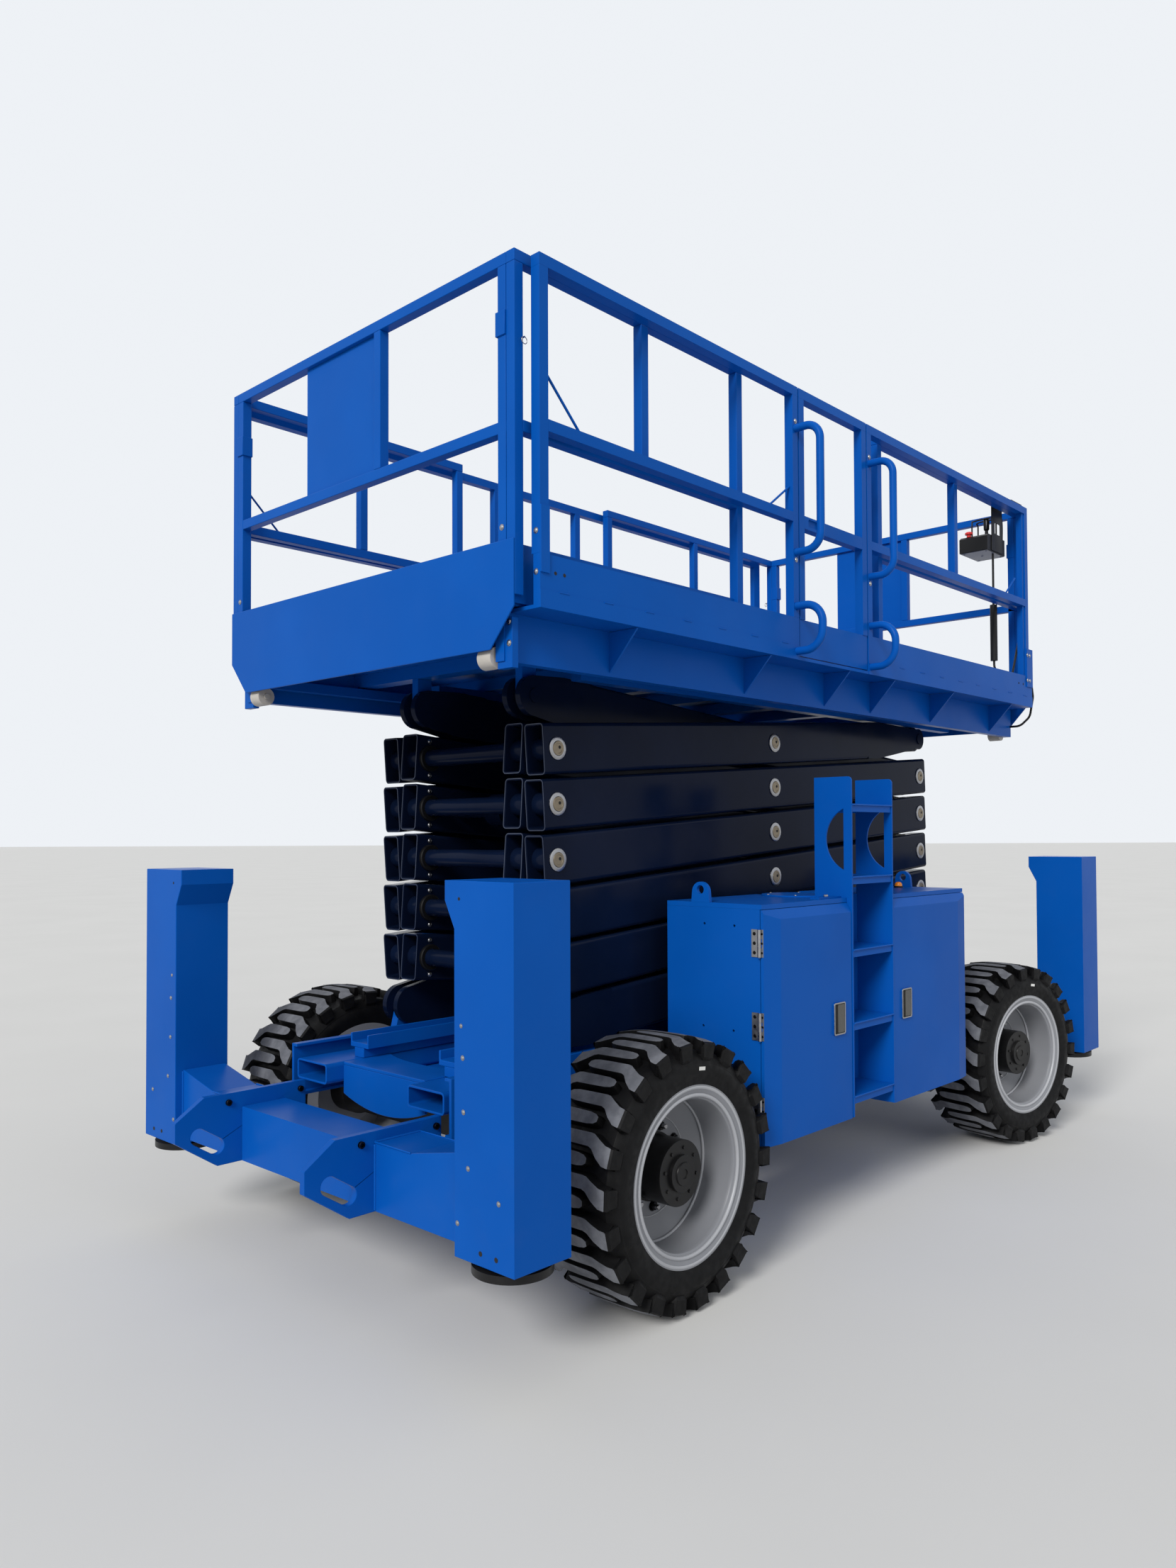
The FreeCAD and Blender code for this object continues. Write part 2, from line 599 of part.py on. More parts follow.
def spun(profile, middle):
    """A ring about the wheel's axis. Columns: radius, place outward from the wheel's middle."""
    points = [V(0, middle + s, r) for r, s in profile]
    face = Part.Face(Part.makePolygon(points + points[:1]))
    return face.revolve(V(0, 0, 0), ACROSS, 360)


def wheel_pieces():
    """A left tyre and its rim about the wheel's own axis."""
    half = TYRE_WIDTH / 2
    c = TYRE_OUT - half
    seat = half - BEAD_IN
    lip = half - RIM_EDGE
    tyre_half = [(RIM_R, half - 4), (RIM_R + 60, half), (TYRE_R - 45, half - 4), (TYRE_R, half - 30)]
    tyre = [(BEAD_R, -seat), (BEAD_R, seat), (RIM_R - 0.5, seat)]
    tyre += tyre_half + [(r, -s) for r, s in reversed(tyre_half)] + [(RIM_R - 0.5, -seat)]
    out, bead, well = RIM_R - 1.5, BEAD_R - WELD, BEAD_R - WELD - 16
    rise = DISC_S + DISC_RISE
    bore, back = STUB_R + 20, DISC_S - RIM_T
    rim = [(out, seat + WELD), (out, lip), (out - 12, lip), (bead, lip - 10), (well + 4, lip - 18), (well, lip - 30),
           (well, rise), (DISC_R, DISC_S), (bore, DISC_S), (bore, back), (DISC_R, back), (well, rise - RIM_T),
           (well, -lip), (out, -lip), (out, -seat - WELD), (bead, -seat - WELD), (bead, seat + WELD)]
    hub = rod((0, c + DISC_S, 0), (0, c + HUB_OUT, 0), HUB_R)
    hub = hub.fuse(rod((0, c + HUB_OUT, 0), (0, c + HUB_OUT + CAP_T, 0), CAP_R))
    hub = hub.fuse(rod((0, c - half + 40, 0), (0, c + DISC_S + 1, 0), HUB_R - 8))
    hub = hub.cut(rod((0, c - half + 30, 0), (0, c + STUB_OUT + 10, 0), STUB_R + RUN))
    return spun(tyre, c), spun(rim, c).fuse(hub)


def wheels():
    tyre, rim = wheel_pieces()
    for end, x in (("rear", -WHEEL_X), ("front", WHEEL_X)):
        for side in ("left", "right"):
            pieces = [tyre.copy(), rim.copy()]
            for p in pieces:
                p.translate(V(x, 0, AXLE_Z))
            if side == "right":
                pieces = [mirrored(p) for p in pieces]
            if end == "front":
                y = KINGPIN_Y if side == "left" else -KINGPIN_Y
                for p in pieces:
                    p.rotate(V(x, y, AXLE_Z), UP, STEER_REST)
            keep(f"{end}_{side}_tyre", pieces[0])
            keep(f"{end}_{side}_wheel", pieces[1])


def axle_seats(x):
    """The two blocks that carry an axle beam under the chassis."""
    seat = box(x - 90, x + 90, RAIL_Y - 90, RAIL_Y - 40, AXLE_Z + AXLE_H / 2 - 10, RAIL_Z0 - WELD)
    return seat.fuse(mirrored(seat))


def axles():
    stub_out = TYRE_OUT - TYRE_WIDTH / 2 + STUB_OUT
    h = AXLE_H / 2
    x = -WHEEL_X
    beam = box(x - h, x + h, -KINGPIN_Y - 20, KINGPIN_Y + 20, AXLE_Z - h - 10, AXLE_Z + h + 10)
    beam = beam.fuse(rod((x, -stub_out, AXLE_Z), (x, stub_out, AXLE_Z), STUB_R))
    keep("rear_axle", beam.fuse(axle_seats(x)))
    x = WHEEL_X
    yoke = KINGPIN_Y - YOKE_IN
    beam = box(x - h, x + h, -yoke, yoke, AXLE_Z - h, AXLE_Z + h).fuse(axle_seats(x))
    for s in (-1, 1):
        pin_y = s * KINGPIN_Y
        for z0, z1 in ((AXLE_Z + 64, AXLE_Z + 96), (AXLE_Z - 96, AXLE_Z - 64)):
            jaw = box(x - 42, x + 42, s * (yoke - 30), pin_y, z0, z1)
            beam = beam.fuse(jaw.fuse(rod((x, pin_y, z0), (x, pin_y, z1), 42)))
        beam = beam.fuse(box(x - 42, x + 42, s * (yoke - 30), s * yoke, AXLE_Z - 96, AXLE_Z + 96))
        beam = beam.cut(rod((x, pin_y, AXLE_Z - AXLE_H), (x, pin_y, AXLE_Z + AXLE_H), KINGPIN_R + RUN))
    keep("front_axle", beam)


def steering():
    """The two steered knuckles and the tie rod that joins their arms."""
    x = WHEEL_X
    stub_out = TYRE_OUT - TYRE_WIDTH / 2 + STUB_OUT
    tip = x - STEER_ARM
    turn = math.radians(STEER_REST)
    dx, dy = -STEER_ARM * math.cos(turn), -STEER_ARM * math.sin(turn)
    z0, z1 = AXLE_Z + 12, AXLE_Z + 40
    bar = rod((x + dx, -KINGPIN_Y + dy, AXLE_Z + 26), (x + dx, KINGPIN_Y + dy, AXLE_Z + 26), 14)
    bores = []
    for side, s in (("left", 1), ("right", -1)):
        pin_y = s * KINGPIN_Y
        hub = rod((x, pin_y, AXLE_Z - 58), (x, pin_y, AXLE_Z + 58), 38)
        hub = hub.fuse(rod((x, pin_y, AXLE_Z - 100), (x, pin_y, AXLE_Z + 100), KINGPIN_R))
        hub = hub.fuse(rod((x, pin_y, AXLE_Z), (x, s * stub_out, AXLE_Z), STUB_R))
        arm = box(tip, x, pin_y - 22, pin_y + 22, AXLE_Z - 20, AXLE_Z + 8)
        arm = arm.fuse(rod((tip, pin_y, AXLE_Z - 20), (tip, pin_y, AXLE_Z + 8), 26))
        arm = arm.fuse(rod((tip, pin_y, AXLE_Z), (tip, pin_y, AXLE_Z + 45), 12))
        piece = hub.fuse(arm)
        piece.rotate(V(x, pin_y, AXLE_Z), UP, STEER_REST)
        keep(f"{side}_steering_knuckle", piece)
        eye = (x + dx, pin_y + dy)
        bar = bar.fuse(rod((*eye, z0), (*eye, z1), 24))
        bores.append(rod((*eye, z0 - 5), (*eye, z1 + 5), 12 + (RUN if s < 0 else LOOSE)))
    for bore in bores:
        bar = bar.cut(bore)
    keep("tie_rod", bar)


def locker(x0, x1):
    """One locker of a cabinet on the left side, as separate sheets: roof, floor, end walls and back."""
    w = CAB_WALL
    low, high = CAB_Z0 + w + WELD, CAB_Z1 - ROOF_T - WELD
    roof = box(x0, x1, CAB_Y0, CAB_Y1 + ROOF_OUT, CAB_Z1 - ROOF_T, CAB_Z1)
    roof = roof.cut(box(x0 + w, x1 - w, CAB_Y0 + w, CAB_Y1 - w, CAB_Z1 - ROOF_T - 1, CAB_Z1 - w))
    pieces = [roof, box(x0, x1, CAB_Y0, CAB_Y1, CAB_Z0, CAB_Z0 + w)]
    for a, b in ((x0, x0 + w), (x1 - w, x1)):
        wall = box(a, b, CAB_Y0, CAB_Y1, low, high)
        for y, z in END_HOLES:
            wall = wall.cut(rod((a - 1, y, CAB_Z0 + z), (b + 1, y, CAB_Z0 + z), END_HOLE_R))
        pieces.append(wall)
    pieces.append(box(x0 + w + WELD, x1 - w - WELD, CAB_Y0, CAB_Y0 + w, low, high))
    return pieces


def lifting_eye(x0):
    """A lifting eye on a cabinet's roof."""
    foot, shoulder, top = CAB_Z1 + WELD, CAB_Z1 + EYE_H - 30, CAB_Z1 + EYE_H
    middle = (EYE_Y0 + EYE_Y1) / 2
    outline = [(EYE_Y0, foot), (EYE_Y1, foot), (EYE_Y1 - 4, shoulder - 6), (EYE_Y0 + 4, shoulder - 6, middle, top)]
    hole = rod((x0 - 1, middle, shoulder), (x0 + EYE_T + 1, middle, shoulder), EYE_HOLE_R)
    return prism("yz", outline, x0, x0 + EYE_T).cut(hole)


def door_pan(x0, x1, hinge):
    """A door's folded sheet on the left side, from its hinge edge x0 to its free edge x1."""
    t = DOOR_SHEET
    y0, y1, bevel_y = CAB_Y1 + DOOR_GAP, DOOR_Y, DOOR_Y - DOOR_BEVEL_Y
    top = CAB_Z1 - ROOF_T - 2
    bevel_z = top - DOOR_BEVEL_H
    skin = prism("yz", [(y0, CAB_Z0), (y1, CAB_Z0), (y1, bevel_z), (bevel_y, top), (y0, top)], x0, x1)
    inside = [(y0 - 1, CAB_Z0 + t), (y1 - t, CAB_Z0 + t), (y1 - t, bevel_z - 2), (bevel_y - 2, top - t),
              (y0 - 1, top - t)]
    inside = prism("yz", inside, x0 - hinge * t, x1 + hinge * t)
    strip = x0 - hinge * DOOR_STRIP
    wedge = [(x0 + hinge, DOOR_EDGE_Y), (x0, DOOR_EDGE_Y), (strip, y1), (strip, y1 + 5), (x0 + hinge, y1 + 5)]
    outer = prism("xy", wedge, CAB_Z0 - 1, CAB_Z1 + 1)
    inner = prism("xy", [(x, y - t) for x, y in wedge], CAB_Z0 - 1, CAB_Z1 + 1)
    return skin.cut(outer).cut(inside.cut(inner))


def hinge_halves(x0, hinge, z):
    """A door hinge: the half with the pin on the cabinet's end wall, and the door's knuckle with its leaf."""
    px, py = x0 + hinge * HINGE_OUT, CAB_Y1 + DOOR_GAP / 2
    r, gap = HINGE_PIN_R + 2.5, 17.0
    inside = x0 + hinge * WELD
    fixed = box(inside, inside + hinge * 2, py - HINGE_LEAF, py - 8, z - HINGE_HALF, z + HINGE_HALF)
    fixed = fixed.fuse(rod((px, py, z - HINGE_HALF - 4), (px, py, z + HINGE_HALF + 4), HINGE_PIN_R))
    for z0, z1 in ((z - HINGE_HALF, z - gap), (z + gap, z + HINGE_HALF)):
        fixed = fixed.fuse(rod((px, py, z0), (px, py, z1), r))
        fixed = fixed.fuse(box(inside, inside + hinge * 2, py - 9, py, z0, z1))
    moving = ring((px, py, z - gap + WELD), (px, py, z + gap - WELD), r, HINGE_PIN_R + RUN)
    leaf = box(x0 - hinge, px - hinge * (HINGE_PIN_R + 1), py, py + 8, z - gap + WELD, z + gap - WELD)
    return fixed, moving.fuse(leaf.cut(rod((px, py, z - gap), (px, py, z + gap), HINGE_PIN_R + 1)))


def cabinet(side):
    """One side's cabinet, drawn on the left, with its two doors."""
    w = CAB_WALL
    if side == "right":
        a, b = LADDER_X0 - WELD, LADDER_X1 + WELD
        door_ends = (LADDER_X0 - SLIP, LADDER_X1 + SLIP)
        back = LADDER_BACK - WELD
        panel = [box(a + WELD, b - WELD, back - w, back, CAB_Z0, CAB_Z1)]
    else:
        middle = (LADDER_X0 + LADDER_X1) / 2
        a, b = middle - WELD / 2, middle + WELD / 2
        door_ends = (middle - DOOR_GAP, middle + DOOR_GAP)
        panel = []
    body = locker(CAB_X0, a) + locker(b, CAB_X1) + panel
    body += [lifting_eye(CAB_X0), lifting_eye(CAB_X1 - 33 - EYE_T)]
    lug_z = RAIL_Z0 + 50
    for x in (CAB_X0 + 236, 60, CAB_X1 - 233):
        body.append(box(x - 40, x + 40, RAIL_Y + WELD, CAB_Y0 - WELD, lug_z, lug_z + 80))
    doors = {}
    for name, x0, x1, hinge in (("rear", CAB_X0, door_ends[0], -1), ("front", CAB_X1, door_ends[1], 1)):
        door = door_pan(x0, x1, hinge)
        for z in HINGE_Z:
            fixed, moving = hinge_halves(x0, hinge, z)
            body.append(fixed)
            door = door.fuse(moving)
        far, near = x1 + hinge * LATCH_IN, x1 + hinge * (LATCH_IN + LATCH_W)
        y0, z0, z1 = DOOR_Y + WELD, LATCH_Z0, LATCH_Z0 + LATCH_H
        latch = rounded(box(far, near, y0, y0 + LATCH_T, z0, z1), 8, ACROSS)
        dish = box(far + hinge * 14, near - hinge * 14, y0 + LATCH_T / 2, y0 + LATCH_T + 1, z0 + 18, z1 - 34)
        doors[name] = [door, latch.cut(rounded(dish, 6, ACROSS))]
    pieces = {f"{side}_cabinet": body, f"{side}_rear_door": doors["rear"], f"{side}_front_door": doors["front"]}
    for name, solids in pieces.items():
        keep(name, *(solids if side == "left" else [mirrored(s) for s in solids]))


def ladder():
    """The boarding ladder between the right-hand doors, drawn on the left and mirrored."""
    face, back, t, r = LADDER_FACE, LADDER_BACK, LADDER_PLATE, LADDER_CORNER
    low, top = CAB_Z0 + 3, CAB_Z1 + LADDER_RISE
    shy = r * (1 - math.sqrt(0.5))
    outline = [(back, low), (face, low), (face, top - r), (face - r, top, face - shy, top - shy), (back, top)]
    straight, z0, z1 = face - GRIP_IN, GRIP_Z0, GRIP_Z0 + GRIP_H
    grip = [(straight, z1), (straight, z0, straight - GRIP_DEEP, (z0 + z1) / 2)]
    pieces = []
    for x in (LADDER_X0, LADDER_X1 - t):
        pieces.append(prism("yz", outline, x, x + t).cut(prism("yz", grip, x - 1, x + t + 1)))
    x0, x1 = LADDER_X0 + t + WELD, LADDER_X1 - t - WELD
    sheet = RUNG_SHEET
    pieces.append(box(x0, x1, back, back + sheet, low, CAB_Z1))
    rear = back + sheet + WELD
    for i in range(LADDER_RUNGS):
        z = RUNG_TOP0 + RUNG_STEP * i
        rung = box(x0, x1, rear, face - 4, z - RUNG_H, z)
        pieces.append(rung.cut(box(x0 - 1, x1 + 1, rear + sheet, face - 4 - sheet, z - RUNG_H - 1, z - sheet)))
    foot = CAB_Z1 + WELD
    pieces.append(box(LADDER_X0 - 171, LADDER_X0 - WELD, 950, 990, foot, foot + 6))
    keep("ladder", *[mirrored(p) for p in pieces])


def engine():
    front = (LADDER_X0 + LADDER_X1) / 2 - 33
    floor = CAB_Z0 + CAB_WALL + WELD
    keep("engine_block", box(CAB_X0 + 36, front, CAB_Y0 + 30, CAB_Y1 - 48, floor, CAB_Z0 + 686))


def stack_hangers(top):
    """What joins the deck to the arms: the rear hanger and the track over the upper rollers."""
    t0 = OUTER_Y + ARM_W / 2 - EAR_T - SLIP - TOP_ROLLER_W - 2
    x, z = PIN_REAR_X, pin_z(STAGES)
    track = box(x + 160, DECK_X1 - 60, t0, t0 + TOP_ROLLER_W + 4, z + TOP_ROLLER_R + WELD, top)
    b0 = INNER_Y - ARM_W / 2 + EAR_T + SLIP
    b1 = INNER_Y + ARM_W / 2 - EAR_T - SLIP
    hanger = box(x - 36, x + 36, b0, b1, z, top).fuse(rod((x, b0, z), (x, b1, z), 36))
    return track, hanger.cut(rod((x, b0 - 1, z), (x, b1 + 1, z), PIN_R + RUN))


def platform():
    """The main deck with its under-frame, its toe boards and the two low handles beside the gate."""
    inside = DECK_Y - SKIRT_T
    edge = inside - WELD
    floor = box(DECK_X0 + WELD, DECK_X1 - WELD, -edge, edge, FLOOR_Z - FLOOR_T, FLOOR_Z)
    under = FLOOR_Z - FLOOR_T - WELD
    beam_x0, beam_x1, beam_y0 = DECK_X0 - BEAM_PAST, DECK_X1 + BEAM_PAST, SIDE_BEAM_Y - SIDE_BEAM_T
    beam = box(beam_x0, beam_x1, beam_y0, SIDE_BEAM_Y, SIDE_BEAM_Z0, under)
    cross_z0 = pin_z(STAGES) + TOP_ROLLER_R + WELD + 60
    track, hanger = stack_hangers(cross_z0 - WELD)
    for piece in (beam, track, hanger):
        keep("platform_deck", piece, mirrored(piece))
    keep("platform_deck", floor, box(DECK_X0, DECK_X1, inside, DECK_Y, SKIRT_Z0, SKIRT_Z1))
    n0, n1 = GATE_X0 - GATE_CLEAR, GATE_X1 + GATE_CLEAR
    for x0, x1, top in ((DECK_X0, n0, SKIRT_Z1), (n1, DECK_X1, SKIRT_Z1), (n0 + WELD, n1 - WELD, FLOOR_Z + 1)):
        keep("platform_deck", box(x0, x1, -DECK_Y, -inside, SKIRT_Z0, top))
    w = beam_y0 - WELD
    for x in (-1900, PIN_REAR_X, -1000, -500, 0, 500, 1000, 1500, 1790):
        keep("platform_deck", box(x - 40, x + 40, -w, w, cross_z0, under))
    root, brim = SIDE_BEAM_Y + WELD, SKIRT_Z0 - 2
    for x in (-1500, -700, -100, 300, 900, 1600):
        gusset = prism("yz", [(root, SIDE_BEAM_Z0 + 12), (root, brim), (DECK_Y - 6, brim)], x - 4, x + 4)
        keep("platform_deck", gusset, mirrored(gusset))


def deck_rollers():
    """The rollers at the deck's ends that carry the runners of the extensions."""
    z = RUNNER_Z - WELD - DECK_ROLLER_R
    for x in (DECK_X0 - 8, DECK_X1 + 8):
        wheel = rod((x, RUNNER_Y - 32, z), (x, RUNNER_Y + 32, z), DECK_ROLLER_R)
        wheel = wheel.fuse(rod((x, RUNNER_Y - 40, z), (x, SIDE_BEAM_Y - SIDE_BEAM_T - WELD, z), 12))
        keep("deck_rollers", wheel, mirrored(wheel))


def bars(name, y, table):
    """Square rail tubes in the plane y. Columns: along (x or z), from, to, centre line height or place."""
    h = TUBE / 2
    for along, start, end, at in table:
        if along == "x":
            keep(name, box(start, end, y - h, y + h, at - h, at + h))
        else:
            keep(name, box(at - h, at + h, y - h, y + h, start, end))


def guardrails():
    """The main rails. The right side is open between the two posts at the gate, which carry two handles."""
    h = TUBE / 2
    top, mid = RAIL_TOP_Z - h, RAIL_MID_Z - h
    low = SKIRT_Z1 + WELD
    post_top = RAIL_TOP_Z - TUBE - WELD
    y = RAIL_Y_MID
    rear, front = DECK_X0 + h, DECK_X1 - FRONT_POST_IN - h
    g0, g1 = GATE_X0 - h - GATE_CLEAR, GATE_X1 + h + GATE_CLEAR
    for side in (-1, 1):
        spans = [(rear, g0), (g1, front)] if side < 0 else [(rear, g0), (g0, g1), (g1, front)]
        for x0, x1 in spans:
            bars("main_guardrails", side * y, [("x", x0 + h + WELD, x1 - h - WELD, mid)])
        for x0, x1 in spans if side < 0 else [(rear, front)]:
            bars("main_guardrails", side * y, [("x", x0 - h, x1 + h, top)])
        bars("main_guardrails", side * y, [("z", low, post_top, x) for x in (rear, g0, g1, front)])
        # The front posts are doubled, and the end posts stand in plates on the toe boards
        inner = front - h - WELD
        web = (side * (y - h), side * (y + h - 6))
        keep("main_guardrails", box(inner - FRONT_POST_W + TUBE, inner, *web, low, mid - h - WELD),
             box(inner - FRONT_POST_W + TUBE, inner, *web, mid + h + WELD, post_top))
        out = side * (y + h + WELD)
        for x0, x1 in ((rear - h, rear + h), (front - h, front + h + FRONT_POST_IN)):
            keep("main_guardrails", box(x0, x1, out, out + side * 5, SKIRT_Z1 - 60, SKIRT_Z1 - 60 + FOOT_H))
    return g0, g1


def gate_and_handles(g0, g1):
    """The side gate, its hinges, and the bent handles on the posts beside it."""
    h = TUBE / 2
    y = RAIL_Y_MID
    top, mid = RAIL_TOP_Z - h, RAIL_MID_Z - h
    post_top = RAIL_TOP_Z - TUBE - WELD
    x0, x1 = GATE_X0 + h, GATE_X1 - h
    low = SKIRT_Z1 - 3
    foot = low + WELD
    bars("gate", -y, [("x", GATE_X0, GATE_X1, top), ("z", foot, post_top, x0), ("z", foot, post_top, x1)])
    rail = box(GATE_X0 + TUBE + WELD, GATE_X1 - TUBE - WELD, -y - h, -y + h, mid - h - 14, mid + h)
    latch = box(GATE_X0 + TUBE + 30, GATE_X0 + TUBE + 110, -y - h - 1, -y - h + 10, mid - h - 2, mid + h - 8)
    keep("gate", rail.cut(rounded(latch, 7, ACROSS)))
    keep("gate", box(GATE_X0, GATE_X1, -DECK_Y + 3, -DECK_Y + 27, FLOOR_Z + 6, low))
    px, py = GATE_X1 + 3, -y + h + 2 * GATE_PIN_R + WELD
    for z in GATE_HINGES:
        knuckle = ring((px, py, z - 16.7), (px, py, z + 16.7), 2 * GATE_PIN_R, GATE_PIN_R + RUN)
        leaf = box(GATE_X1 - 30, px - 5, -y + h + WELD, -y + h + 4, z - 16.7, z + 16.7)
        keep("gate", leaf.fuse(knuckle))
        pin = rod((px, py, z - 40), (px, py, z + 40), GATE_PIN_R)
        for z0, z1 in ((z - 40, z - 17), (z + 17, z + 40)):
            pin = pin.fuse(rod((px, py, z0), (px, py, z1), 2 * GATE_PIN_R))
            pin = pin.fuse(box(px + 4, g1 + h, -y + h + WELD, -y + h + 4, z0, z1))
        keep("main_guardrails", pin)
    feet = (("main_guardrails", -y - h - WELD), ("platform_deck", -DECK_Y - WELD))
    for (name, skin), (z0, z1, out, bend) in zip(feet, HANDLES):
        grip = -DECK_Y - out
        for x in (g0, g1):
            route = ((x, skin, z0, 0), (x, grip, z0, bend), (x, grip, z1, bend), (x, skin, z1, 0))
            keep(name, bent_bar(route, HANDLE_R))


def extension(end):
    """A sliding deck extension with its rails, drawn for the rear and turned for the front."""
    s = -1 if end == "rear" else 1
    h = TUBE / 2
    edge = DECK_X0 if s < 0 else DECK_X1
    inner = EXT_REAR_IN if s < 0 else EXT_FRONT_IN
    plate_in = edge + s * EXT_PLATE_GAP
    brim, side, low, low_y = FLOOR_Z + 205, FLOOR_Z - 7, FLOOR_Z - 132, EXT_Y - EXT_PLATE_CUT
    outline = [(-EXT_Y, brim), (EXT_Y, brim), (EXT_Y, side), (low_y, low), (-low_y, low), (-EXT_Y, side)]
    plate = prism("yz", outline, plate_in, plate_in + s * EXT_PLATE_T)
    floor_z = FLOOR_Z + SLIP
    weld = plate_in - s * WELD
    floor = box(inner, weld, -EXT_Y + 40, EXT_Y - 40, floor_z, floor_z + EXT_FLOOR_T)
    slide = box(inner + s * 200, weld, RUNNER_Y - 20, RUNNER_Y + 20, RUNNER_Z, RUNNER_Z + RUNNER_H)
    keep(f"{end}_extension_deck", plate, floor, slide, mirrored(slide))
    y = EXT_Y - h
    top, mid = EXT_TOP_Z - h, RAIL_MID_Z - h
    foot = floor_z + EXT_FLOOR_T + WELD
    post_top = EXT_TOP_Z - TUBE - WELD
    x_end = plate_in - s * (h + WELD)
    x_in = inner + s * h
    x_mid = inner + (x_end - inner) * 0.49
    lo, hi = min(x_in, x_end), max(x_in, x_end)
    for across in (-y, y):
        bars(f"{end}_extension_rails", across,
             [("x", lo - h, hi + h, top), ("x", lo + h + WELD, hi - h - WELD, mid), ("z", foot, post_top, lo),
              ("z", foot, post_top, hi), ("z", mid + h + WELD, post_top, x_mid)])
    w = y - h - WELD
    for z in (top, mid):
        keep(f"{end}_extension_rails", box(x_end - h, x_end + h, -w, w, z - h, z + h))
    z0, z1 = mid + h + WELD, top - h - WELD
    keep(f"{end}_extension_rails", box(x_end - 3, x_end + 3, -120, 330, z0, z1))
    keep(f"{end}_extension_rails", box(x_end - h, x_end + h, -160, -122, z0, z1))


def controls():
    """The control box inside the rails, on a bracket over the front extension's top rail, and its cable."""
    y0, y1, t = -BOX_Y1, -BOX_Y0, BRACKET_T
    body = prism("xz", [(BOX_X0, BOX_Z0), (BOX_X1, BOX_Z0), (BOX_X1, BOX_Z1), (BOX_X0 + 18, BOX_Z1),
                        (BOX_X0, BOX_Z1 - 12)], y0, y1)
    rail = -RAIL_Y_MID - TUBE / 2
    over = EXT_TOP_Z + SLIP
    a, b = BRACKET_X0, BRACKET_X1
    seat = box(a, b, rail, rail + TUBE, RAIL_TOP_Z + WELD, RAIL_TOP_Z + WELD + t)
    rise = box(a, b, rail + TUBE - t, rail + TUBE, RAIL_TOP_Z + WELD, over + t)
    bridge = box(a, b, rail + TUBE - t, y0 - WELD, over, over + t)
    drop = box(a, b, y0 - WELD - t, y0 - WELD, BOX_Z0 + 4, over + t)
    window = rounded(box(a + 40, b - 30, y0 - WELD - t - 1, y0 + 1, BOX_Z1 + 12, BOX_Z1 + 72), 8, ACROSS)
    keep("control_box", body, seat.fuse(rise).fuse(bridge).fuse(drop.cut(window)))
    cable = bent_bar([(x, -out, FLOOR_Z + z, bend) for x, out, z, bend in CABLE], CABLE_R)
    x, out = CABLE[0][:2]
    keep("control_cable", cable, ring((x, -out, SLEEVE_Z0), (x, -out, SLEEVE_Z1), SLEEVE_R, CABLE_R + WELD))


scissor_stack()
lift_cylinder("lower_lift", 2, 4)
lift_cylinder("upper_lift", 4, 6)
chassis()
outrigger_frames()
wheels()
axles()
steering()
cabinet("left")
cabinet("right")
ladder()
engine()
platform()
deck_rollers()
gate_and_handles(*guardrails())
extension("rear")
extension("front")
controls()

os.makedirs("parts", exist_ok=True)
for node, solids in PARTS.items():
    shape = solids[0] if len(solids) == 1 else Part.makeCompound(solids)
    shape.exportStep(f"parts/{node}.step")
    print(node, len(solids), shape.isValid())
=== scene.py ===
import bpy
import bmesh
import json
import math
from mathutils import Matrix, Vector


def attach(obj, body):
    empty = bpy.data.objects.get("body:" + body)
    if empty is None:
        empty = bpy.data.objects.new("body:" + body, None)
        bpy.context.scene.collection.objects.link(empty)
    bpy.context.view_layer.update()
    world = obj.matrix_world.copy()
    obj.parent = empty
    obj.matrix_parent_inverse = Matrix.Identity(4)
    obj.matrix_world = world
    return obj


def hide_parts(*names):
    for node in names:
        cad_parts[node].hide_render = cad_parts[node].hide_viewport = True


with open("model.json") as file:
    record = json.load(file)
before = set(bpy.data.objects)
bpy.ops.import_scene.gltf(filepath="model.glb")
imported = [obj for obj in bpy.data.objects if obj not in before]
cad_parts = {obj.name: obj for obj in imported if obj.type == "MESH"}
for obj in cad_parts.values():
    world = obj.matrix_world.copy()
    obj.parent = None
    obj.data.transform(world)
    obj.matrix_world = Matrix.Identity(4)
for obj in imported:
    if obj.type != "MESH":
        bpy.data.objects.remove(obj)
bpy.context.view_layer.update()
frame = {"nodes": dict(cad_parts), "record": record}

NODES = frame["nodes"]

# Places that the looks share with the frame, in metres
AXLE_X = 1.425
AXLE_Z = 0.452
TYRE_R = 0.452
TYRE_WIDTH = 0.340
TYRE_OUT = 1.085
KINGPIN_Y = 0.660
STEER_REST = math.radians(-9.6)
WHEEL_MID = TYRE_OUT - TYRE_WIDTH / 2
STAGES = 6
PITCH = 0.2049
PIN_REAR_X = -1.460
PIN_FRONT_X = 1.369
PIN_Z0 = 0.876
OUTER_Y = 0.4315
INNER_Y = 0.314
ARM_W = 0.099
ARM_H = 0.190
ARM_ROUND = 0.016
ARM_OVER = 0.067
COL_FACE = 2.262
TIE_OUT = 0.4245
TIE_T = 0.025
CAB_X0 = -0.936
CAB_X1 = 0.733
CAB_Z1 = 1.322
HINGE_Y = 1.0095
HINGE_Z = (0.566, 0.874, 1.180)
LATCH_Y = 1.0403
LATCH_Z = 0.848
LADDER_X0 = -0.322
LADDER_X1 = 0.007
LADDER_FRONT = 1.0395
RUNG_Z0 = 0.520
RUNG_PITCH = 0.2962
FLOOR_Z = 2.297
DECK_X0 = -1.967
DECK_X1 = 1.861
DECK_Y = 0.915
GATE_X0 = -0.527
GATE_X1 = 0.067
REAR_PLATE_X = -2.019
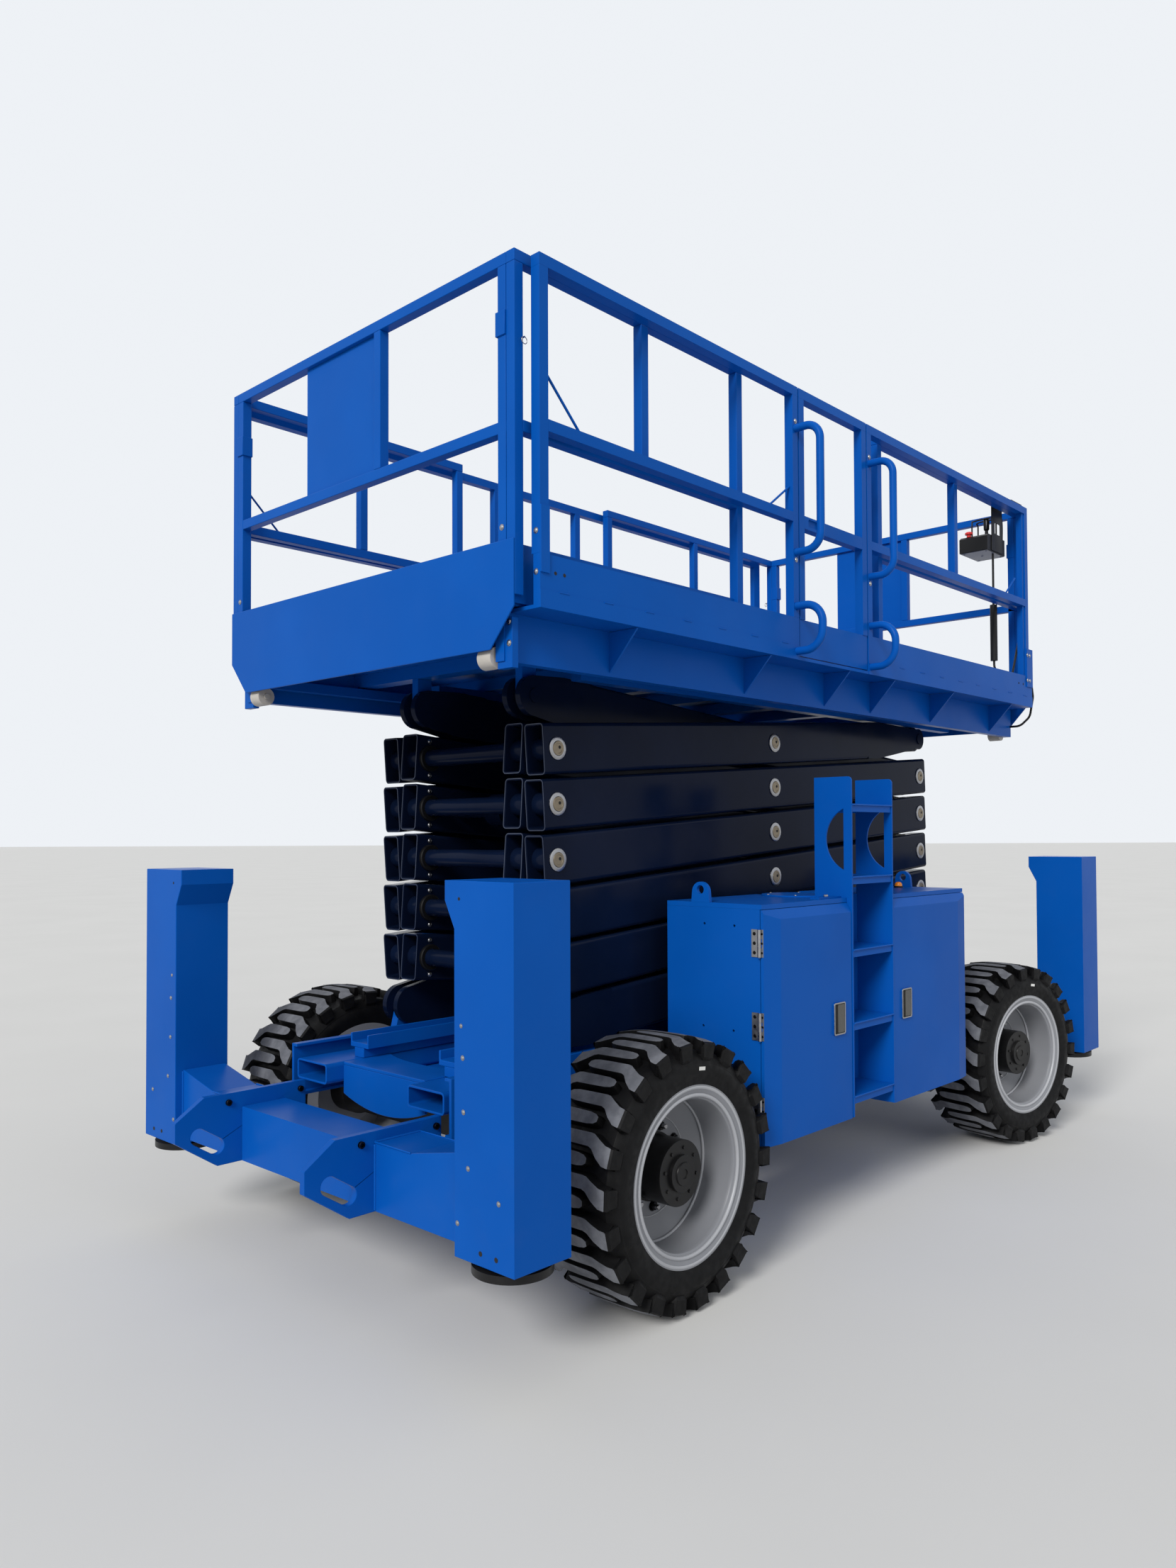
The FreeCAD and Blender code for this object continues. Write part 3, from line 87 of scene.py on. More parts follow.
FRONT_PLATE_X = 1.913
BOX_TOP = 3.2301
BOX_BASE = 3.1370

# Edges that turn by less than this many degrees are shaded smooth
CRISP = 30.0
ROUNDED = 40.0
SOFT = 60.0
# Softened edges: width on CAD pieces, blocks and thin plates, and the least turn in degrees
CAD_EDGE = 0.0022
BLOCK_EDGE = 0.0015
PLATE_EDGE = 0.0008
CAD_EDGE_TURN = 38
EDGE_TURN = 30

UP = Vector((0, 0, 1))
# The right side and the left side
SIDES = (-1, 1)

# The photo's camera
CAMERA_AT = (-4.354, -3.368, 1.578)
CAMERA_YAW = math.radians(43.355)
CAMERA_PITCH = math.radians(1.30)
CAMERA_ROLL = math.radians(-0.22)
CAMERA_LENS = 25.56
CAMERA_SHIFT = 0.0170


# Materials

def node_tree(name):
    """A new material, its node tree and its shader."""
    material = bpy.data.materials.new(name)
    material.use_nodes = True
    tree = material.node_tree
    return material, tree, tree.nodes["Principled BSDF"]


def noise(tree, scale, detail, roughness=0.5):
    """Noise in the object's own place, as a value from 0 to 1."""
    coords = tree.nodes.new("ShaderNodeTexCoord")
    texture = tree.nodes.new("ShaderNodeTexNoise")
    texture.inputs["Scale"].default_value = scale
    texture.inputs["Detail"].default_value = detail
    texture.inputs["Roughness"].default_value = roughness
    tree.links.new(coords.outputs["Object"], texture.inputs["Vector"])
    return texture.outputs["Fac"]


def ramp(tree, value, low, high, start=0.0, end=1.0):
    """A value between low and high, brought to start and end."""
    node = tree.nodes.new("ShaderNodeMapRange")
    node.interpolation_type = "SMOOTHSTEP"
    node.inputs["From Min"].default_value = low
    node.inputs["From Max"].default_value = high
    node.inputs["To Min"].default_value = start
    node.inputs["To Max"].default_value = end
    tree.links.new(value, node.inputs["Value"])
    return node.outputs["Result"]


def mixed(tree, factor, first, second):
    """Two colours mixed by a factor; each is a colour or a socket."""
    node = tree.nodes.new("ShaderNodeMix")
    node.data_type = "RGBA"
    tree.links.new(factor, node.inputs["Factor"])
    for socket, colour in ((node.inputs[6], first), (node.inputs[7], second)):
        if isinstance(colour, tuple):
            socket.default_value = (*colour, 1.0)
        else:
            tree.links.new(colour, socket)
    return node.outputs[2]


def bump(tree, shader, height, strength, distance):
    """Small relief from a height."""
    node = tree.nodes.new("ShaderNodeBump")
    node.inputs["Strength"].default_value = strength
    node.inputs["Distance"].default_value = distance
    tree.links.new(height, node.inputs["Height"])
    tree.links.new(node.outputs["Normal"], shader.inputs["Normal"])


def roughen(tree, shader, spots, low, high):
    """Roughness that wanders between two values."""
    tree.links.new(ramp(tree, spots, 0.3, 0.7, low, high), shader.inputs["Roughness"])


def height_of(tree):
    """How high a point of the piece lies above the ground at rest."""
    coords = tree.nodes.new("ShaderNodeTexCoord")
    split = tree.nodes.new("ShaderNodeSeparateXYZ")
    tree.links.new(coords.outputs["Object"], split.inputs[0])
    return split.outputs["Z"]


ROAD_DUST = (0.16, 0.15, 0.135)
DUST_FOOT = 0.30          # the height below which the dust is thickest
DUST_LEAST = 0.01


def paint(name, colour, deep, gloss, sheen, dusty=0.10, dust_top=0.75):
    """Sprayed paint on steel: faint mottling, orange peel, road dust that fades out with height."""
    material, tree, shader = node_tree(name)
    tone = ramp(tree, noise(tree, 1.7, 3.0), 0.35, 0.65)
    colours = mixed(tree, tone, deep, colour)
    share = tree.nodes.new("ShaderNodeMath")
    share.operation = "MULTIPLY"
    tree.links.new(ramp(tree, noise(tree, 9.0, 6.0, 0.62), 0.45, 0.8), share.inputs[0])
    tree.links.new(ramp(tree, height_of(tree), DUST_FOOT, dust_top, dusty, DUST_LEAST), share.inputs[1])
    colours = mixed(tree, share.outputs[0], colours, ROAD_DUST)
    tree.links.new(colours, shader.inputs["Base Color"])
    roughen(tree, shader, noise(tree, 5.0, 5.0), gloss, gloss + 0.08)
    shader.inputs["Specular IOR Level"].default_value = sheen
    bump(tree, shader, noise(tree, 260.0, 2.0), 0.04, 0.0006)
    return material


def rubber(name, dark, light, rough):
    """Solid tyre rubber with faint dust and moulding grain."""
    material, tree, shader = node_tree(name)
    colours = mixed(tree, ramp(tree, noise(tree, 14.0, 6.0, 0.6), 0.35, 0.7), dark, light)
    dusty = ramp(tree, noise(tree, 34.0, 8.0, 0.7), 0.56, 0.80, 0.0, 0.11)
    tree.links.new(mixed(tree, dusty, colours, (0.09, 0.085, 0.075)), shader.inputs["Base Color"])
    roughen(tree, shader, noise(tree, 40.0, 4.0), rough, rough + 0.2)
    shader.inputs["Specular IOR Level"].default_value = 0.14
    bump(tree, shader, noise(tree, 420.0, 5.0, 0.65), 0.20, 0.0010)
    return material


METAL_GRAIN = 60.0
METAL_STAIN = (0.20, 0.17, 0.14)


def metal(name, colour, rough):
    """Bare or plated metal with a fine grain and faint stains."""
    material, tree, shader = node_tree(name)
    spots = ramp(tree, noise(tree, METAL_GRAIN / 4, 6.0, 0.6), 0.58, 0.82, 0.0, 0.5)
    tree.links.new(mixed(tree, spots, colour, METAL_STAIN), shader.inputs["Base Color"])
    shader.inputs["Metallic"].default_value = 1.0
    roughen(tree, shader, noise(tree, METAL_GRAIN, 4.0), rough, rough + 0.16)
    bump(tree, shader, noise(tree, METAL_GRAIN * 8, 2.0), 0.06, 0.0006)
    return material


def plastic(name, colour, rough):
    """Moulded plastic with a fine grain."""
    material, tree, shader = node_tree(name)
    lighter = tuple(min(1.0, c * 1.35 + 0.004) for c in colour)
    tree.links.new(mixed(tree, noise(tree, 20.0, 5.0), colour, lighter), shader.inputs["Base Color"])
    roughen(tree, shader, noise(tree, 90.0, 3.0), rough, rough + 0.12)
    bump(tree, shader, noise(tree, 500.0, 2.0), 0.10, 0.0006)
    return material


BLUE = (0.0020, 0.086, 0.405)
BLUE_DEEP = (0.0014, 0.078, 0.375)
NAVY = (0.0040, 0.0090, 0.0290)
NAVY_DEEP = (0.0028, 0.0065, 0.0210)
# Painted highlight: a light grey-blue that stands in for the bright edges of the tubes' open ends
EDGE_HIGHLIGHT = (0.060, 0.078, 0.120)
EDGE_HIGHLIGHT_DEEP = (0.030, 0.040, 0.070)
# The rim's grey made darker to paint the shade in the barrel; the lighter lip grey paints the highlight on
# the lip and bead rings
RIM_GREY_SHADED = (0.225, 0.232, 0.252)
RIM_GREY_SHADED_DEEP = (0.195, 0.202, 0.222)
LIP_LIT = (0.400, 0.410, 0.435)
LIP_LIT_DEEP = (0.350, 0.360, 0.385)
BLACK = (0.0085, 0.0085, 0.0090)
BLACK_DEEP = (0.0055, 0.0055, 0.0060)
RUBBER_DARK = (0.0030, 0.0030, 0.0034)
RUBBER_LIGHT = (0.0058, 0.0058, 0.0064)
TREAD_DARK = (0.100, 0.105, 0.120)
TREAD_LIGHT = (0.170, 0.177, 0.198)
MATERIALS = {
    "blue_paint": paint("blue_paint", BLUE, BLUE_DEEP, 0.30, 0.06, dusty=0.03),
    "arm_navy": paint("arm_navy", NAVY, NAVY_DEEP, 0.16, 0.06, dusty=0.03),
    # painted highlight on the tubes' open ends
    "painted_edge_highlight": paint("painted_edge_highlight", EDGE_HIGHLIGHT, EDGE_HIGHLIGHT_DEEP, 0.30, 0.3),
    "chrome_rod": metal("chrome_rod", (0.66, 0.67, 0.69), 0.06),
    "tyre_rubber": rubber("tyre_rubber", RUBBER_DARK, RUBBER_LIGHT, 0.46),
    "tread_grey": rubber("tread_grey", TREAD_DARK, TREAD_LIGHT, 0.60),
    # Rim: a darker grey paints the barrel's shade, a lighter one the highlight on the rings
    "rim_grey": paint("rim_grey", RIM_GREY_SHADED, RIM_GREY_SHADED_DEEP, 0.34, 0.5, dusty=0.12, dust_top=0.6),
    "rim_lip_highlight": paint("rim_lip_highlight", LIP_LIT, LIP_LIT_DEEP, 0.30, 0.6, dusty=0.10),
    "black_steel": paint("black_steel", BLACK, BLACK_DEEP, 0.34, 0.25, dusty=0.06),
    "nylon": plastic("nylon", (0.40, 0.375, 0.34), 0.48),
    "zinc": metal("zinc", (0.36, 0.36, 0.37), 0.26),
    "brass": metal("brass", (0.24, 0.20, 0.145), 0.32),
    "black_bolt": metal("black_bolt", (0.020, 0.020, 0.022), 0.28),
    # Painted shade: a near-black finish for flat discs and sheets that stand in for holes, sockets and
    # recesses
    "painted_hole_shade": plastic("painted_hole_shade", (0.003, 0.003, 0.003), 0.80),
    "paddle_grey": plastic("paddle_grey", (0.060, 0.060, 0.054), 0.40),
    "beacon_amber": plastic("beacon_amber", (0.80, 0.22, 0.010), 0.15),
    "stop_red": plastic("stop_red", (0.60, 0.010, 0.008), 0.22),
    "tag_white": plastic("tag_white", (0.60, 0.60, 0.58), 0.35),
}
FINISHES = {s["node"]: s["material_slot"] for s in frame["record"]["subparts"]}


def add_bevel(piece, width, degrees):
    """Softens the edges that turn by more than so many degrees."""
    bevel = piece.modifiers.new("edges", "BEVEL")
    bevel.width = width
    bevel.segments = 2
    bevel.limit_method = "ANGLE"
    bevel.angle_limit = math.radians(degrees)
    return bevel


def dress(node):
    """Gives a CAD node its material and soft edges."""
    piece = NODES[node]
    piece.data.materials.clear()
    piece.data.materials.append(MATERIALS[FINISHES[node]])
    weld = piece.modifiers.new("joined", "WELD")
    weld.merge_threshold = 0.00002
    add_bevel(piece, CAD_EDGE, CAD_EDGE_TURN).use_clamp_overlap = True
    normals = piece.modifiers.new("shading", "WEIGHTED_NORMAL")
    normals.keep_sharp = True


for node_name in NODES:
    dress(node_name)


# Making pieces

def ellipse(s, radius, half_s, half_r, count):
    """A small closed loop for a lathe, at a place along the axle and a radius."""
    angles = [2 * math.pi * i / count for i in range(count)]
    return [(s + half_s * math.cos(a), radius + half_r * math.sin(a)) for a in angles]


CORNER_STEPS = 4


def rounded(width, height, radius):
    """The corners of a rounded rectangle as pairs."""
    points = []
    for cx, cy, start in ((1, 1, 0), (-1, 1, 90), (-1, -1, 180), (1, -1, 270)):
        for i in range(CORNER_STEPS + 1):
            a = math.radians(start + 90 * i / CORNER_STEPS)
            points.append((cx * (width / 2 - radius) + radius * math.cos(a),
                           cy * (height / 2 - radius) + radius * math.sin(a)))
    return points


# Lathe profiles of bolt heads for a size of 1: along the bolt and radius
DOME_HEAD = ((0, 1.25), (0.14, 1.25), (0.16, 1), (0.45, 0.86), (0.62, 0.55), (0.68, 0.2))
SOCKET_HEAD = ((0, 1), (0.8, 1), (0.9, 0.9), (0.9, 0.5), (0.4, 0.45))
FLAT_HEAD = ((0, 1), (0.12, 1), (0.2, 0.9))
HEX_WASHER = ((0, 1.3), (0.12, 1.3))
HEX_HEAD = ((0.12, 1.08), (0.72, 1.08), (0.82, 0.96))
# Each head is one lathe or more. Columns: profile, sides
HEADS = {
    "dome": ((DOME_HEAD, 14),),
    "socket": ((SOCKET_HEAD, 14),),
    "flat": ((FLAT_HEAD, 14),),
    "hex": ((HEX_WASHER, 14), (HEX_HEAD, 6)),
}


class Shape:
    """Vertices and faces of one piece, gathered bit by bit."""

    def __init__(self):
        self.verts = []
        self.faces = []
        self.worn = set()

    def add(self, verts, faces, worn=()):
        """Adds faces; those listed as worn take a piece's second finish."""
        base = len(self.verts)
        self.worn.update(len(self.faces) + i for i in worn)
        self.verts += [Vector(v) for v in verts]
        self.faces += [[base + i for i in f] for f in faces]

    def lathe(self, profile, centre, axis, steps, closed=False):
        """Turns a profile of (along, radius) round an axis."""
        axis = Vector(axis).normalized()
        side = axis.orthogonal().normalized()
        other = axis.cross(side)
        verts = []
        for i in range(steps):
            a = 2 * math.pi * i / steps
            out = side * math.cos(a) + other * math.sin(a)
            verts += [Vector(centre) + axis * s + out * r for s, r in profile]
        n = len(profile)
        faces = []
        for i in range(steps):
            j = (i + 1) % steps
            for k in range(n if closed else n - 1):
                m = (k + 1) % n
                faces.append([i * n + k, i * n + m, j * n + m, j * n + k])
        if not closed:
            faces.append([i * n for i in range(steps)])
            faces.append([i * n + n - 1 for i in reversed(range(steps))])
        self.add(verts, faces)

    def block(self, low, high):
        """A box between two corners."""
        (x0, y0, z0), (x1, y1, z1) = low, high
        verts = [(x, y, z) for x in (x0, x1) for y in (y0, y1) for z in (z0, z1)]
        faces = [(0, 1, 3, 2), (4, 6, 7, 5), (0, 4, 5, 1), (2, 3, 7, 6), (0, 2, 6, 4), (1, 5, 7, 3)]
        self.add(verts, faces)

    def outline(self, points, thick):
        """A flat outline given thickness."""
        n = len(points)
        points = [Vector(p) for p in points]
        self.add(points + [p + Vector(thick) for p in points],
                 [list(range(n)), [n + i for i in reversed(range(n))]]
                 + [[i, (i + 1) % n, n + (i + 1) % n, n + i] for i in range(n)])

    def band(self, outer, inner, thick):
        """A closed band between two outlines, given thickness."""
        n = len(outer)
        thick = Vector(thick)
        rings = [[Vector(p) for p in outer], [Vector(p) for p in inner]]
        verts = rings[0] + rings[1] + [p + thick for p in rings[0]] + [p + thick for p in rings[1]]
        faces = []
        for i in range(n):
            j = (i + 1) % n
            faces += [[i, j, n + j, n + i], [2 * n + i, 3 * n + i, 3 * n + j, 2 * n + j],
                      [i, 2 * n + i, 2 * n + j, j], [n + i, n + j, 3 * n + j, 3 * n + i]]
        self.add(verts, faces)

    def bolt(self, place, out, size, kind="dome"):
        """A bolt head standing on a face."""
        place, out = Vector(place), Vector(out).normalized()
        for profile, steps in HEADS[kind]:
            self.lathe([(s * size, r * size) for s, r in profile], place, out, steps)

    def wire(self, points, radius, sides=8, smooth=6, wave=0.0):
        """A round wire through points; a wave swells it in beads, as a weld."""
        points = [Vector(p) for p in points]
        path = []
        for i in range(len(points) - 1):
            a = points[max(i - 1, 0)]
            b, c = points[i], points[i + 1]
            d = points[min(i + 2, len(points) - 1)]
            for k in range(smooth):
                t = k / smooth
                path.append(0.5 * ((2 * b) + (c - a) * t + (2 * a - 5 * b + 4 * c - d) * t * t
                                   + (3 * b - a - 3 * c + d) * t * t * t))
        path.append(points[-1])
        side = (path[1] - path[0]).orthogonal().normalized()
        verts = []
        for i, p in enumerate(path):
            ahead = (path[min(i + 1, len(path) - 1)] - path[max(i - 1, 0)]).normalized()
            side = (side - ahead * side.dot(ahead)).normalized()
            other = ahead.cross(side)
            r = radius * (1 + wave * (1 if i % 2 else -1))
            verts += [p + (side * math.cos(a) + other * math.sin(a)) * r
                      for a in (2 * math.pi * j / sides for j in range(sides))]
        faces = []
        for i in range(len(path) - 1):
            for j in range(sides):
                here, there = i * sides, (i + 1) * sides
                after = (j + 1) % sides
                faces.append([here + j, here + after, there + after, there + j])
        faces += [list(range(sides)), [len(verts) - 1 - j for j in range(sides)]]
        self.add(verts, faces)

    def bead(self, start, end, radius, step=0.007):
        """A weld bead from start to end."""
        start, end = Vector(start), Vector(end)
        n = max(2, round((end - start).length / step))
        self.wire([start.lerp(end, i / n) for i in range(n + 1)], radius, 7, 2, 0.16)

    def piece(self, name, body, slot, smooth=35.0, bevel=0.0, worn=None):
        """Makes the piece, gives it its finish and lets it ride on a body."""
        mesh = bpy.data.meshes.new(name)
        mesh.from_pydata(self.verts, [], self.faces)
        made = bpy.data.objects.new(name, mesh)
        bpy.context.scene.collection.objects.link(made)
        made.data.materials.append(MATERIALS[slot])
        if worn:
            made.data.materials.append(MATERIALS[worn])
            for i in self.worn:
                mesh.polygons[i].material_index = 1
        work = bmesh.new()
        work.from_mesh(mesh)
        bmesh.ops.recalc_face_normals(work, faces=work.faces)
        for edge in work.edges:
            if len(edge.link_faces) == 2:
                edge.smooth = edge.calc_face_angle(0.0) < math.radians(smooth)
        for face in work.faces:
            face.smooth = True
        work.to_mesh(mesh)
        work.free()
        if bevel:
            add_bevel(made, bevel, EDGE_TURN)
        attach(made, body)
        return made


# Tyres

WHEELS = [(end, side) for end in ("rear", "front") for side in ("left", "right")]
LUGS = 22
LUG_H = 0.036
LUG_HALF = TYRE_WIDTH / 2
LUG_FLARE = 0.006         # how much wider a lug is at its root, each side
LUG_SINK = 0.006          # how much deeper than the lug's height its root lies
LUG_TOP_IN = 0.010        # how far in from the side wall the plan below starts
LUG_EDGE = 0.0022
TYRE_STEPS = 88
RING_STEPS = 72
CROWN_DROP = 0.014        # how much smaller the tread's radius is at its shoulders
CARCASS_HALF = ((0.138, 0.406), (0.158, 0.385), (0.163, 0.366), (0.1665, 0.358), (0.166, 0.335),
                (0.158, 0.300), (0.150, 0.268))
CARCASS = ([(-s, r) for s, r in reversed(CARCASS_HALF)] + [(-0.070, 0.415), (0.070, 0.415)]
           + list(CARCASS_HALF))
# The raised circle on a side wall: place along the axle, radius, half its width and half its height
WALL_RING = (0.1590, 0.3700, 0.0035, 0.0060)
# Columns: how far in from the shoulder, the lug's two edges round the tread
LUG_PLAN = ((0.000, 0.010, 0.074), (0.022, 0.006, 0.070), (0.048, -0.008, 0.050),
            (0.070, -0.021, 0.026), (0.085, -0.023, 0.020), (0.150, -0.022, 0.020),
            (0.205, -0.021, 0.019), (0.228, -0.017, 0.015), (0.240, -0.009, 0.007))
# Columns: place along the axle of the top and of the root, their radii, how far the edges are drawn in
LUG_END = ((0.158, 0.128, 0.375, 0.368, 0.009), (0.1690, 0.1390, 0.389, 0.380, 0.003),
           (0.168, 0.140, 0.434, 0.400, 0.000))


def wheel_place(end, side):
    """Where a wheel's middle is at rest, and the outward way along its axle."""
    sign = 1 if side == "left" else -1
    if end == "rear":
        return Vector((-AXLE_X, sign * WHEEL_MID, AXLE_Z)), Vector((0, sign, 0))
    out = Vector((-math.sin(STEER_REST), math.cos(STEER_REST), 0)) * sign
    return Vector((AXLE_X, sign * KINGPIN_Y, AXLE_Z)) + out * (WHEEL_MID - KINGPIN_Y), out


def crown(s):
    """Radius of the tread at a place along the axle."""
    return TYRE_R - CROWN_DROP * (abs(s) / LUG_HALF) ** 3


def lug_rows(own):
    """Sections of a lug from its shoulder inward: top and root places and radii, and its two edges."""
    _, low_end, high_end = LUG_PLAN[0]
    rows = []
    for s_top, s_root, top, root, narrow in LUG_END:
        rows.append((own * s_top, top, own * s_root, root, low_end + narrow, high_end - narrow))
    for inset, low, high in LUG_PLAN:
        s = own * (LUG_HALF - LUG_TOP_IN - inset)
        rows.append((s, crown(s), s, crown(s) - LUG_H - LUG_SINK, low, high))
    return rows


def tyre_shape(centre, out):
    """A solid tyre with interlocking hooked lugs, about a wheel's own axle."""
    shape = Shape()
    shape.lathe(CARCASS, centre, out, TYRE_STEPS, closed=True)
    ring_s, ring_r, half_s, half_r = WALL_RING
    for sign in SIDES:
        circle = ellipse(sign * ring_s, ring_r, half_s, half_r, 8)
        shape.lathe(circle, centre, out, RING_STEPS, closed=True)
    fore = Vector((out.y, -out.x, 0)) if out.y > 0 else Vector((-out.y, out.x, 0))

    def point(s, r, turn):
        """A point by its place along the axle, its radius and its turn."""
        return centre + out * s + (fore * math.cos(turn) + UP * math.sin(turn)) * r

    for own in SIDES:
        rows = lug_rows(own)
        n = len(rows)
        for i in range(LUGS):
            middle = 2 * math.pi * (i + (0.5 if own > 0 else 0.0)) / LUGS
            verts = []
            for s, top, s_root, root, low, high in rows:
                verts.append(point(s_root, root, middle + (low - LUG_FLARE) / TYRE_R))
                verts.append(point(s, top, middle + low / TYRE_R))
                verts.append(point(s, top, middle + high / TYRE_R))
                verts.append(point(s_root, root, middle + (high + LUG_FLARE) / TYRE_R))
            faces = []
            for a in range(0, 4 * n - 4, 4):
                b = a + 4
                faces += [[a, a + 1, b + 1, b], [a + 1, a + 2, b + 2, b + 1],
                          [a + 2, a + 3, b + 3, b + 2], [a + 3, a, b, b + 3]]
            faces += [[0, 3, 2, 1], [4 * n - 4, 4 * n - 3, 4 * n - 2, 4 * n - 1]]
            tops = [4 * k + 1 for k in range(len(LUG_END), n - 1)]
            shape.add(verts, faces, tops)
    return shape


for end, side in WHEELS:
    middle, out = wheel_place(end, side)
    shape = tyre_shape(middle, out)
    tyre = shape.piece(f"{end}_{side}_lugged_tyre", f"{end}_{side}_wheel", "tyre_rubber", ROUNDED, LUG_EDGE,
                       "tread_grey")
    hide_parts(f"{end}_{side}_tyre")


# Wheels: black hubs, nuts and the blank tag

HUB_FACE = 0.1068
DISC_FACE = -0.0195
# Rings of bolts and of nuts. Columns: radius of the ring, how many, turn of the first, head size
HUB_BOLTS = (0.0840, 8, 0.2, 0.0058)
WHEEL_NUTS = (0.1360, 9, 0.5, 0.0145)
# Lathe profiles: along the axle from the wheel's middle, and radius
HUB_COVER = ((-0.0195, 0.1165), (-0.012, 0.1165), (-0.010, 0.1096), (0.1056, 0.1096), (HUB_FACE, 0.1084),
             (HUB_FACE, 0.0616), (0.1184, 0.0612), (0.1196, 0.0596), (0.1196, 0.0390), (0.1235, 0.0375),
             (0.1235, 0.0165), (0.1205, 0.0160))
HUB_BACK = ((-0.1310, 0.1012), (-0.0330, 0.1012))
STUD = ((0.010, 0.0085), (0.027, 0.0085), (0.029, 0.0070))
# Columns: place along the axle, radius, radius of the bead's section
RIM_RINGS = ((0.1500, 0.2900, 0.0092), (0.1485, 0.2630, 0.0070), (0.0150, 0.2420, 0.0050),
             (-0.0185, 0.1680, 0.0022))
TAG_TURN = math.radians(97)
TAG_R = 0.352
TAG_OUT = 0.1662
TAG_CORNERS = ((-0.016, -0.006), (0.016, -0.006), (0.016, 0.006), (-0.016, 0.006))
TAG_T = 0.0010


def ring_of(centre, out, radius, count, phase):
    """Places spaced evenly round an axle."""
    fore = out.cross(UP)
    for i in range(count):
        a = phase + 2 * math.pi * i / count
        yield centre + (fore * math.cos(a) + UP * math.sin(a)) * radius


for end, side in WHEELS:
    middle, out = wheel_place(end, side)
    name, body = f"{end}_{side}", f"{end}_{side}_wheel"
    hub, rings, nuts, studs, tag = Shape(), Shape(), Shape(), Shape(), Shape()
    hub.lathe(HUB_COVER, middle, out, 64)
    hub.lathe(HUB_BACK, middle, out, 48)
    for s, radius, tube in RIM_RINGS:
        rings.lathe(ellipse(s, radius, tube, tube, 10), middle, out, RING_STEPS, closed=True)
    # The rings take the lighter grey: a painted highlight
    rings.piece(f"{name}_rim_rings", body, "rim_lip_highlight", SOFT)
    radius, count, first, size = HUB_BOLTS
    for place in ring_of(middle + out * HUB_FACE, out, radius, count, first):
        hub.bolt(place, out, size, "hex")
    hub.piece(f"{name}_hub_cover", body, "black_steel", CRISP)
    radius, count, first, size = WHEEL_NUTS
    for place in ring_of(middle + out * DISC_FACE, out, radius, count, first):
        nuts.bolt(place, out, size, "hex")
        studs.lathe(STUD, place, out, 12)
    nuts.piece(f"{name}_wheel_nuts", body, "black_bolt", CRISP)
    studs.piece(f"{name}_wheel_studs", body, "zinc", CRISP)
    radial = out.cross(UP) * math.cos(TAG_TURN) + UP * math.sin(TAG_TURN)
    along = out.cross(radial)
    tag_at = middle + radial * TAG_R + out * TAG_OUT
    tag.outline([tag_at + along * a + radial * b for a, b in TAG_CORNERS], out * TAG_T)
    tag.piece(f"{name}_tyre_tag", body, "tag_white")


# Scissor stack: pin caps, collars, tube ends

# Lathe profiles: out from the arm's face, and radius
PIN_WASHER = ((0.0004, 0.0285), (0.0004, 0.0430), (0.0040, 0.0425), (0.0062, 0.0385), (0.0062, 0.0285))
PIN_CAP = ((0.0002, 0.0282), (0.0068, 0.0282), (0.0082, 0.0265), (0.0082, 0.0190), (0.0072, 0.0180))
# The socket is a small dark hexagon on the cap: painted shade
PIN_SOCKET = ((0.0070, 0.0068), (0.0077, 0.0068))
SOCKET_OFF = Vector((0.006, 0, 0.004))
CROSS_COLLAR = ((0.0004, 0.0354), (0.0004, 0.0540), (0.0100, 0.0535), (0.0130, 0.0500), (0.0130, 0.0354))
COLLAR_BOLT = 0.0085
COLLAR_BOLT_RISE = 0.070
# Painted highlight on the tubes' open ends, a light band over each cut end: how far in the band's edges
# lie, its stand-off and its thickness
END_OUTER_IN = 0.002
END_INNER_IN = 0.0075
END_ROUND_IN = 0.003
END_OFF = 0.0002
END_T = 0.0008


def pin_z(k):
    """Height of the end pins above stage k."""
    return PIN_Z0 + PITCH * k


def outer_pins(k):
    """Washers, caps and sockets on the outer faces of a stage's pins."""
    places = [(PIN_REAR_X, pin_z(k - 1)), ((PIN_REAR_X + PIN_FRONT_X) / 2, pin_z(k - 0.5))]
    if k < STAGES:
        places.append((PIN_FRONT_X, pin_z(k)))
    washers, caps, sockets = Shape(), Shape(), Shape()
    for sign in SIDES:
        for x, z in places:
            at, out = Vector((x, sign * (OUTER_Y + ARM_W / 2), z)), Vector((0, sign, 0))
            washers.lathe(PIN_WASHER, at, out, 40, closed=True)
            caps.lathe(PIN_CAP, at, out, 36)
            # Painted shade: a small dark hexagon on each cap stands in for its socket
            sockets.lathe(PIN_SOCKET, at + SOCKET_OFF, out, 6)
    washers.piece(f"outer_pin_washers_{k}", f"outer_{k}", "zinc", CRISP)
    caps.piece(f"outer_pin_caps_{k}", f"outer_{k}", "brass", CRISP)
    sockets.piece(f"outer_pin_sockets_{k}", f"outer_{k}", "painted_hole_shade", CRISP)


def cross_collars(k):
    """Collars and bolts where a stage's cross tube meets the inner arms."""
    collars, heads = Shape(), Shape()
    for sign in SIDES:
        at = Vector((PIN_REAR_X, sign * (INNER_Y - ARM_W / 2), pin_z(k)))
        inward = Vector((0, -sign, 0))
        collars.lathe(CROSS_COLLAR, at, inward, 32, closed=True)
        for rise in (-COLLAR_BOLT_RISE, COLLAR_BOLT_RISE):
            heads.bolt(at + UP * rise, inward, COLLAR_BOLT)
    collars.piece(f"inner_cross_collars_{k}", f"inner_{k}", "black_steel", CRISP)
    heads.piece(f"inner_cross_bolts_{k}", f"inner_{k}", "zinc", CRISP)


